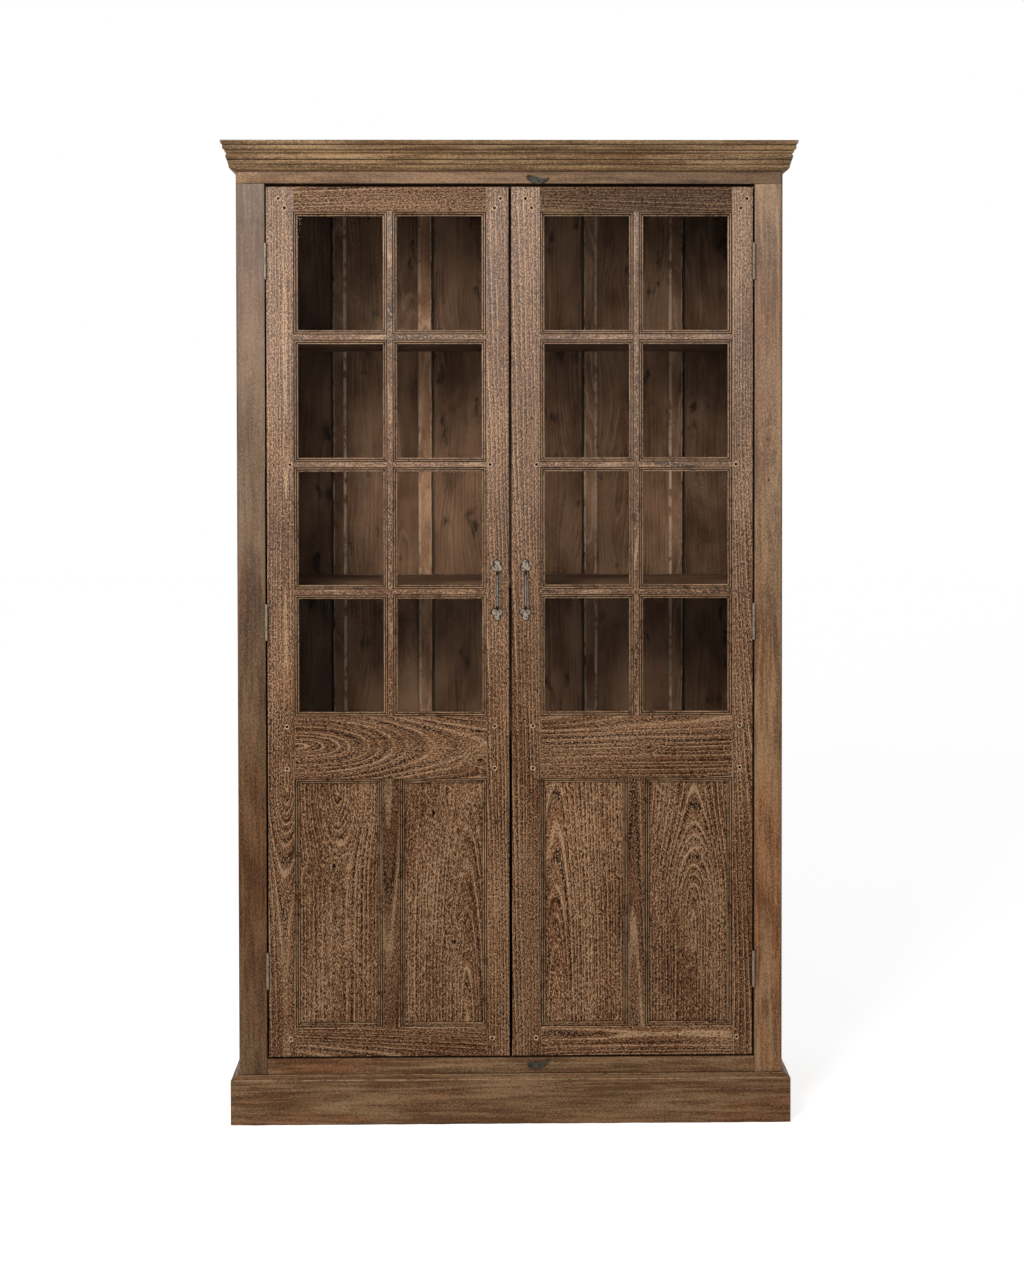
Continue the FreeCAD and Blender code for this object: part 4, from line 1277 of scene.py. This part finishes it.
@dataclass(frozen=True)
class PegRings:
    """The pale rings where the wood is rubbed bare round the pegs of a door."""

    door: Door
    inner: float = 3.35 * MM
    outer: float = 5.0 * MM
    foot: float = 5.6 * MM
    proud: float = 0.8 * MM
    depth: float = 0.6 * MM
    spacing: float = 12.0 * MM
    face_play: float = 0.1 * MM
    segments: int = 24
    unevenness: float = 0.1

    def centres(self) -> list[Vector]:
        """Return the middle of every peg's front face."""
        points = [vertex.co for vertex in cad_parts[self.door.value + "_pegs"].data.vertices]
        front = min(point.y for point in points)
        heaps: list[list[Vector]] = []
        for point in (point for point in points if point.y < front + self.face_play):
            near = next((heap for heap in heaps if (heap[0] - point).length < self.spacing), None)
            if near is None:
                heaps.append([point])
            else:
                near.append(point)
        return [sum(heap, Vector()) / len(heap) for heap in heaps]

    def make(self) -> Object:
        """Lay a thin ring round every peg, hang them all on the door and return them."""
        name = self.door.value
        shape = bmesh.new()
        chance = random.Random(name)
        for centre in self.centres():
            swell = chance.uniform(0.0, math.tau)
            loops = []
            for radius, rise in ((self.inner, -self.depth), (self.inner, self.proud), (self.outer, self.proud),
                                 (self.foot, -self.depth)):
                loop = []
                for step in range(self.segments):
                    turn = math.tau * step / self.segments
                    grown = 1.0 + (self.unevenness * math.sin(2 * turn + swell) if radius > self.inner else 0.0)
                    offset = Vector((math.cos(turn), 0.0, math.sin(turn))) * radius * grown
                    loop.append(shape.verts.new(centre + offset - Vector((0.0, rise, 0.0))))
                loops.append(loop)
            for loop, following in zip(loops, loops[1:] + loops[:1]):
                for step in range(self.segments):
                    after = (step + 1) % self.segments
                    shape.faces.new((loop[step], following[step], following[after], loop[after]))
        bmesh.ops.recalc_face_normals(shape, faces=shape.faces)
        mesh = as_mesh(shape, name + "_peg_rings", Stock.take(BARE_WOOD))
        return hang(name + "_peg_rings", mesh, name)


def fastener_tree() -> NodeTree:
    """Build the Geometry Nodes tree that sets a head on each point, facing its way, turned and sized at random."""
    net, given, result = node_group(
        "fastener heads",
        {"Geometry": ("Geometry",), "Float": ("Head Radius", "Head Height", "Crown", "Slot Width"),
         "Int": ("Corners", "Seed"), "Material": ("Material",)},
        {"Geometry": ("Geometry",)}, "GeometryNodeTree")
    radius, height, slot, seed = (given[name] for name in ("Head Radius", "Head Height", "Slot Width", "Seed"))
    head = net.out("GeometryNodeMeshCone", {"Vertices": given["Corners"], "Radius Top": radius * given["Crown"],
                                            "Radius Bottom": radius, "Depth": height})
    size = net.out("ShaderNodeCombineXYZ", {0: radius * 2.4, 1: slot, 2: height * 3.0})
    drop = net.out("ShaderNodeCombineXYZ", {2: height * -0.9})
    cutter = net.out("GeometryNodeMeshCube", {"Size": size})
    cutter = net.out("GeometryNodeTransform", {"Geometry": cutter, "Translation": drop})
    slotted = net.out("GeometryNodeMeshBoolean", {"Mesh 1": head, "Mesh 2": cutter}, operation="DIFFERENCE")
    has_slot = net.out("FunctionNodeCompare", {0: slot, 1: 0.0}, data_type="FLOAT", operation="GREATER_THAN")
    shape = net.out("GeometryNodeSwitch", {0: has_slot, 1: head, 2: slotted}, input_type="GEOMETRY")
    facing = net.out("GeometryNodeInputNamedAttribute", {"Name": "facing"}, data_type="FLOAT_VECTOR")
    aimed = net.out("FunctionNodeAlignRotationToVector", {"Vector": facing}, axis="Z")
    angle = net.out("FunctionNodeRandomValue", {2: 0.0, 3: math.tau, 8: seed}, 1, data_type="FLOAT")
    spin = net.out("FunctionNodeAxisAngleToRotation", {"Axis": (0.0, 0.0, 1.0), "Angle": angle})
    turned = net.out("FunctionNodeRotateRotation", {"Rotation": aimed, "Rotate By": spin}, rotation_space="LOCAL")
    scale = net.out("FunctionNodeRandomValue", {2: 0.86, 3: 1.0, 8: seed}, 1, data_type="FLOAT")
    heads = net.out("GeometryNodeInstanceOnPoints", {"Points": given["Geometry"], "Instance": shape,
                                                     "Rotation": turned, "Scale": scale})
    real = net.out("GeometryNodeRealizeInstances", {"Geometry": heads})
    net.fill(result, {0: net.out("GeometryNodeSetMaterial", {"Geometry": real, "Material": given["Material"]})})
    return net.tree


@dataclass
class Fasteners:
    """Screws, nails or brads of one kind on one body."""

    name: str
    body: str
    spots: Spots
    finish: IronFinish = NAIL_IRON
    slot: str = "nail_iron"
    head_radius: float = 2.0 * MM
    head_height: float = 0.5 * MM
    crown: float = 0.7
    corners: int = 10
    slot_width: float = 0.0
    seed: int = 1
    tree: ClassVar[NodeTree | None] = None

    def make(self) -> Object:
        """Set the heads, hang them on their body and return them."""
        if Fasteners.tree is None:
            Fasteners.tree = fastener_tree()
        mesh = bpy.data.meshes.new(self.name + "_points")
        mesh.from_pydata([spot for spot, _ in self.spots], [], [])
        facing = mesh.attributes.new("facing", "FLOAT_VECTOR", "POINT")
        for index, (_, way) in enumerate(self.spots):
            facing.data[index].vector = way
        points = placed(self.name + "_points", mesh)
        heads = points.modifiers.new("heads", "NODES")
        heads.node_group = Fasteners.tree
        for item in Fasteners.tree.interface.items_tree:
            label = item.name.lower().replace(" ", "_")
            if item.in_out == "INPUT" and label != "geometry":
                heads[item.identifier] = Stock.take(self.finish) if label == "material" else getattr(self, label)
        return hang(self.name, applied(points, self.name), self.body)


@dataclass
class Ironmongery:
    """Hinges, handles, turn buttons, and all the nails and screws."""

    hinge_heights: tuple[float, ...] = (0.326, 1.069, 1.834)
    hinge_axis: float = 0.5175
    leaf_gap: float = 0.2 * MM
    screw_depth: float = -0.1845
    screw_stagger: float = 3.5 * MM
    screw_steps: tuple[float, ...] = (-0.028, 0.0, 0.028)
    nail_rows: tuple[float, ...] = (0.07, 0.804, 1.127, 1.672, 2.05)
    nail_columns: tuple[float, ...] = (-0.535, -0.445, -0.398, -0.19, -0.14, -0.05, 0.055, 0.145, 0.19, 0.398,
                                       0.445, 0.535)
    cleat_rows: tuple[float, ...] = (0.783, 1.1064, 1.651)
    cleat_columns: tuple[float, ...] = (-0.13, 0.02, 0.17)
    pane_bottoms: tuple[float, ...] = (0.868, 1.1384, 1.4088, 1.6792)

    def leaf_screws(self, name: str, body: str, sides: Sequence[int], out: int, seed: int) -> Fasteners:
        """Return the screws of rows of hinge leaves.

        Args:
            name: the screws' name.
            body: the body that they are on.
            sides: -1 for the left of the cabinet, 1 for the right.
            out: 1 for the leaves on the post, -1 for those on the door.
            seed: seed of their turns and sizes.

        Returns:
            The screws.
        """
        spots = [(Vector((side * (self.hinge_axis + out * self.leaf_gap),
                          self.screw_depth + self.screw_stagger * (number % 2), height + step)),
                  Vector((-side * out, 0, 0)))
                 for side in sides for height in self.hinge_heights for number, step in enumerate(self.screw_steps)]
        return Fasteners(name, body, spots, HINGE_IRON, "hinge_iron", 2.6 * MM, 0.16 * MM, 0.92, 16, 0.7 * MM, seed)

    def back_nails(self) -> Spots:
        """Return the nails that hold the back to the top, the floor and the shelves."""
        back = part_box("back_boards")[1][1] - 0.3 * MM
        return [(Vector((x, back, row + 0.006 * math.sin(x * 37.0 + row * 5.0))), Vector((0, 1, 0)))
                for row in self.nail_rows for x in self.nail_columns]

    def cleat_nails(self) -> Spots:
        """Return the nails that hold the shelf cleats to the sides."""
        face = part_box("shelf_cleats")[1][0] - 20 * MM
        return [(Vector((side * face, y, z)), Vector((-side, 0, 0)))
                for side in (-1, 1) for z in self.cleat_rows for y in self.cleat_columns]

    def bead_brads(self, door: Door) -> Spots:
        """Return the brads in the beads behind a door's panes.

        Args:
            door: the door.

        Returns:
            Each brad's place and the way that its head faces.
        """
        low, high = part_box(door.value + "_glazing_beads")
        level = [(across, up) for across in (0.05, 0.15) for up in (4 * MM, 0.2554)]
        upright = [(across, up) for up in (0.07, 0.19) for across in (4 * MM, 0.1945)]
        return [(Vector((start + across, high[1], bottom + up)), Vector((0, 1, 0)))
                for start in (low[0], (low[0] + high[0]) / 2 + 5.5 * MM) for bottom in self.pane_bottoms
                for across, up in level + upright]

    def make(self) -> list[Object]:
        """Build all the iron and return its new objects."""
        for node in ("left_door_hinge_leaves", "right_door_hinge_leaves", "post_hinge_leaves", "hinge_pins"):
            dress(node, Stock.take(HINGE_IRON))
        made = []
        for side, door in ((-1, Door.LEFT), (1, Door.RIGHT)):
            name = door.value
            made += [
                Castings(name + "_pull_handle", name, HANDLE_IRON, "handle_iron", passes=2, bow=BOW_IRON),
                # painted shadow round the handle plates
                PlateShadow(door),
                PegRings(door),
                self.leaf_screws(name + "_leaf_screws", name, (side,), -1, 3),
                Fasteners(name + "_bead_brads", name, self.bead_brads(door), head_radius=0.9 * MM,
                          head_height=0.3 * MM, corners=6, seed=5),
            ]
        made += [
            self.leaf_screws("post_leaf_screws", "carcass", (-1, 1), 1, 4),
            Fasteners("back_nails", "carcass", self.back_nails(), head_radius=3.2 * MM, head_height=0.3 * MM,
                      corners=8, seed=6),
            Fasteners("cleat_nails", "carcass", self.cleat_nails(), head_radius=2.6 * MM, head_height=0.8 * MM,
                      corners=8, seed=7),
        ]
        made += [Castings(name, name, BUTTON_IRON, "button_iron", 0.4 * MM, 4)
                 for name in ("upper_button", "lower_button")]
        made.append(Castings("button_nails", "carcass", NAIL_IRON, "nail_iron", 0.4 * MM, 4))
        return [piece.make() for piece in made]


@dataclass
class Studio:
    """White floor and surroundings, soft lamps, and the camera of the photograph."""

    eye: Vector = field(default_factory=lambda: Vector((-0.0463, -4.01, 1.47)))
    pitch: float = 1.009
    yaw: float = 0.754
    roll: float = -0.086
    focal_pixels: float = 1797.4
    frame_height: float = 1261.0
    shift: float = -0.1315
    sensor: float = 36.0
    white: Colour = (1.0, 1.0, 1.0)
    daylight: float = 0.26
    reach: float = 14.0

    def camera(self) -> Object:
        """Make the camera and return it."""
        lens = bpy.data.cameras.new("camera")
        lens.sensor_width = self.sensor
        lens.lens = self.focal_pixels * self.sensor / self.frame_height
        lens.shift_y = self.shift
        lens.clip_end = 50.0
        camera = placed("camera", lens)
        camera.location = self.eye
        turn = Euler((math.radians(90.0 - self.pitch), 0.0, math.radians(-self.yaw)), "XYZ")
        roll = Matrix.Rotation(math.radians(self.roll), 3, "Z")
        camera.rotation_euler = (turn.to_matrix() @ roll).to_euler()
        bpy.context.scene.camera = camera
        return camera

    def lamp(self, name: str, place: Vector, aim: Vector, size: float, power: float) -> Object:
        """Make one soft square lamp.

        Args:
            name: the lamp's name.
            place: where it stands.
            aim: what it shines at.
            size: its side in metres.
            power: its power in watts.

        Returns:
            The lamp.
        """
        data = bpy.data.lights.new(name, "AREA")
        data.size = size
        data.energy = power
        lamp = placed(name, data)
        lamp.location = place
        lamp.rotation_euler = (aim - place).to_track_quat("-Z", "Y").to_euler()
        return lamp

    def seen_ray(self, net: Net) -> Wire:
        """Tell the rays that show the surroundings as a plain white.

        Args:
            net: the net of the tree that asks.

        Returns:
            1 for such rays.
        """
        path = net.node("ShaderNodeLightPath").outputs
        seen = net.math("MAXIMUM", path["Is Camera Ray"], path["Is Glossy Ray"])
        return net.math("MAXIMUM", seen, path["Is Transmission Ray"])

    def surroundings(self) -> None:
        """Light the world softly and show it white."""
        world = bpy.data.worlds.new("white studio")
        world.use_nodes = True
        bpy.context.scene.world = world
        net = Net(world.node_tree)
        strength = net.spread(self.seen_ray(net), 0.0, 1.0, self.daylight, 1.0, "LINEAR")
        net.fill(world.node_tree.nodes["Background"], {"Color": self.white, "Strength": strength})

    def floor(self) -> Object:
        """Lay the white floor and return it."""
        mesh = bpy.data.meshes.new("floor")
        far = self.reach
        mesh.from_pydata([(-far, -far, 0.0), (far, -far, 0.0), (far, far, 0.0), (-far, far, 0.0)], [], [(0, 1, 2, 3)])
        material, net, surface, output = new_material("white floor")
        net.fill(surface, {"Base Color": (0.85, 0.85, 0.85), "Roughness": 0.9})
        glow = net.out("ShaderNodeEmission", {"Color": self.white, "Strength": 0.72})
        shown = net.out("ShaderNodeAddShader", {0: surface.outputs[0], 1: glow})
        inputs = {0: self.seen_ray(net), 1: surface.outputs[0], 2: shown}
        net.fill(output, {"Surface": net.out("ShaderNodeMixShader", inputs)})
        mesh.materials.append(material)
        floor = placed("floor", mesh)
        return floor

    def make(self) -> None:
        """Set up the whole studio."""
        bpy.context.scene.view_settings.view_transform = "Standard"
        self.camera()
        self.surroundings()
        self.floor()
        middle = Vector((0.0, -0.1, 1.15))
        self.lamp("key lamp", Vector((-1.3, -2.7, 2.8)), middle, 1.5, 80.0)
        self.lamp("fill lamp", Vector((2.4, -3.0, 1.2)), middle, 2.0, 12.0)


def main() -> None:
    """Build the studio and every part of the cabinet, in order."""
    logging.basicConfig(level=logging.INFO, format="%(name)s %(message)s")
    Studio().make()
    Carcass().make()
    Inside().make()
    LEFT_DOOR.make()
    RIGHT_DOOR.make()
    Ironmongery().make()


if __name__ == "__main__":
    main()
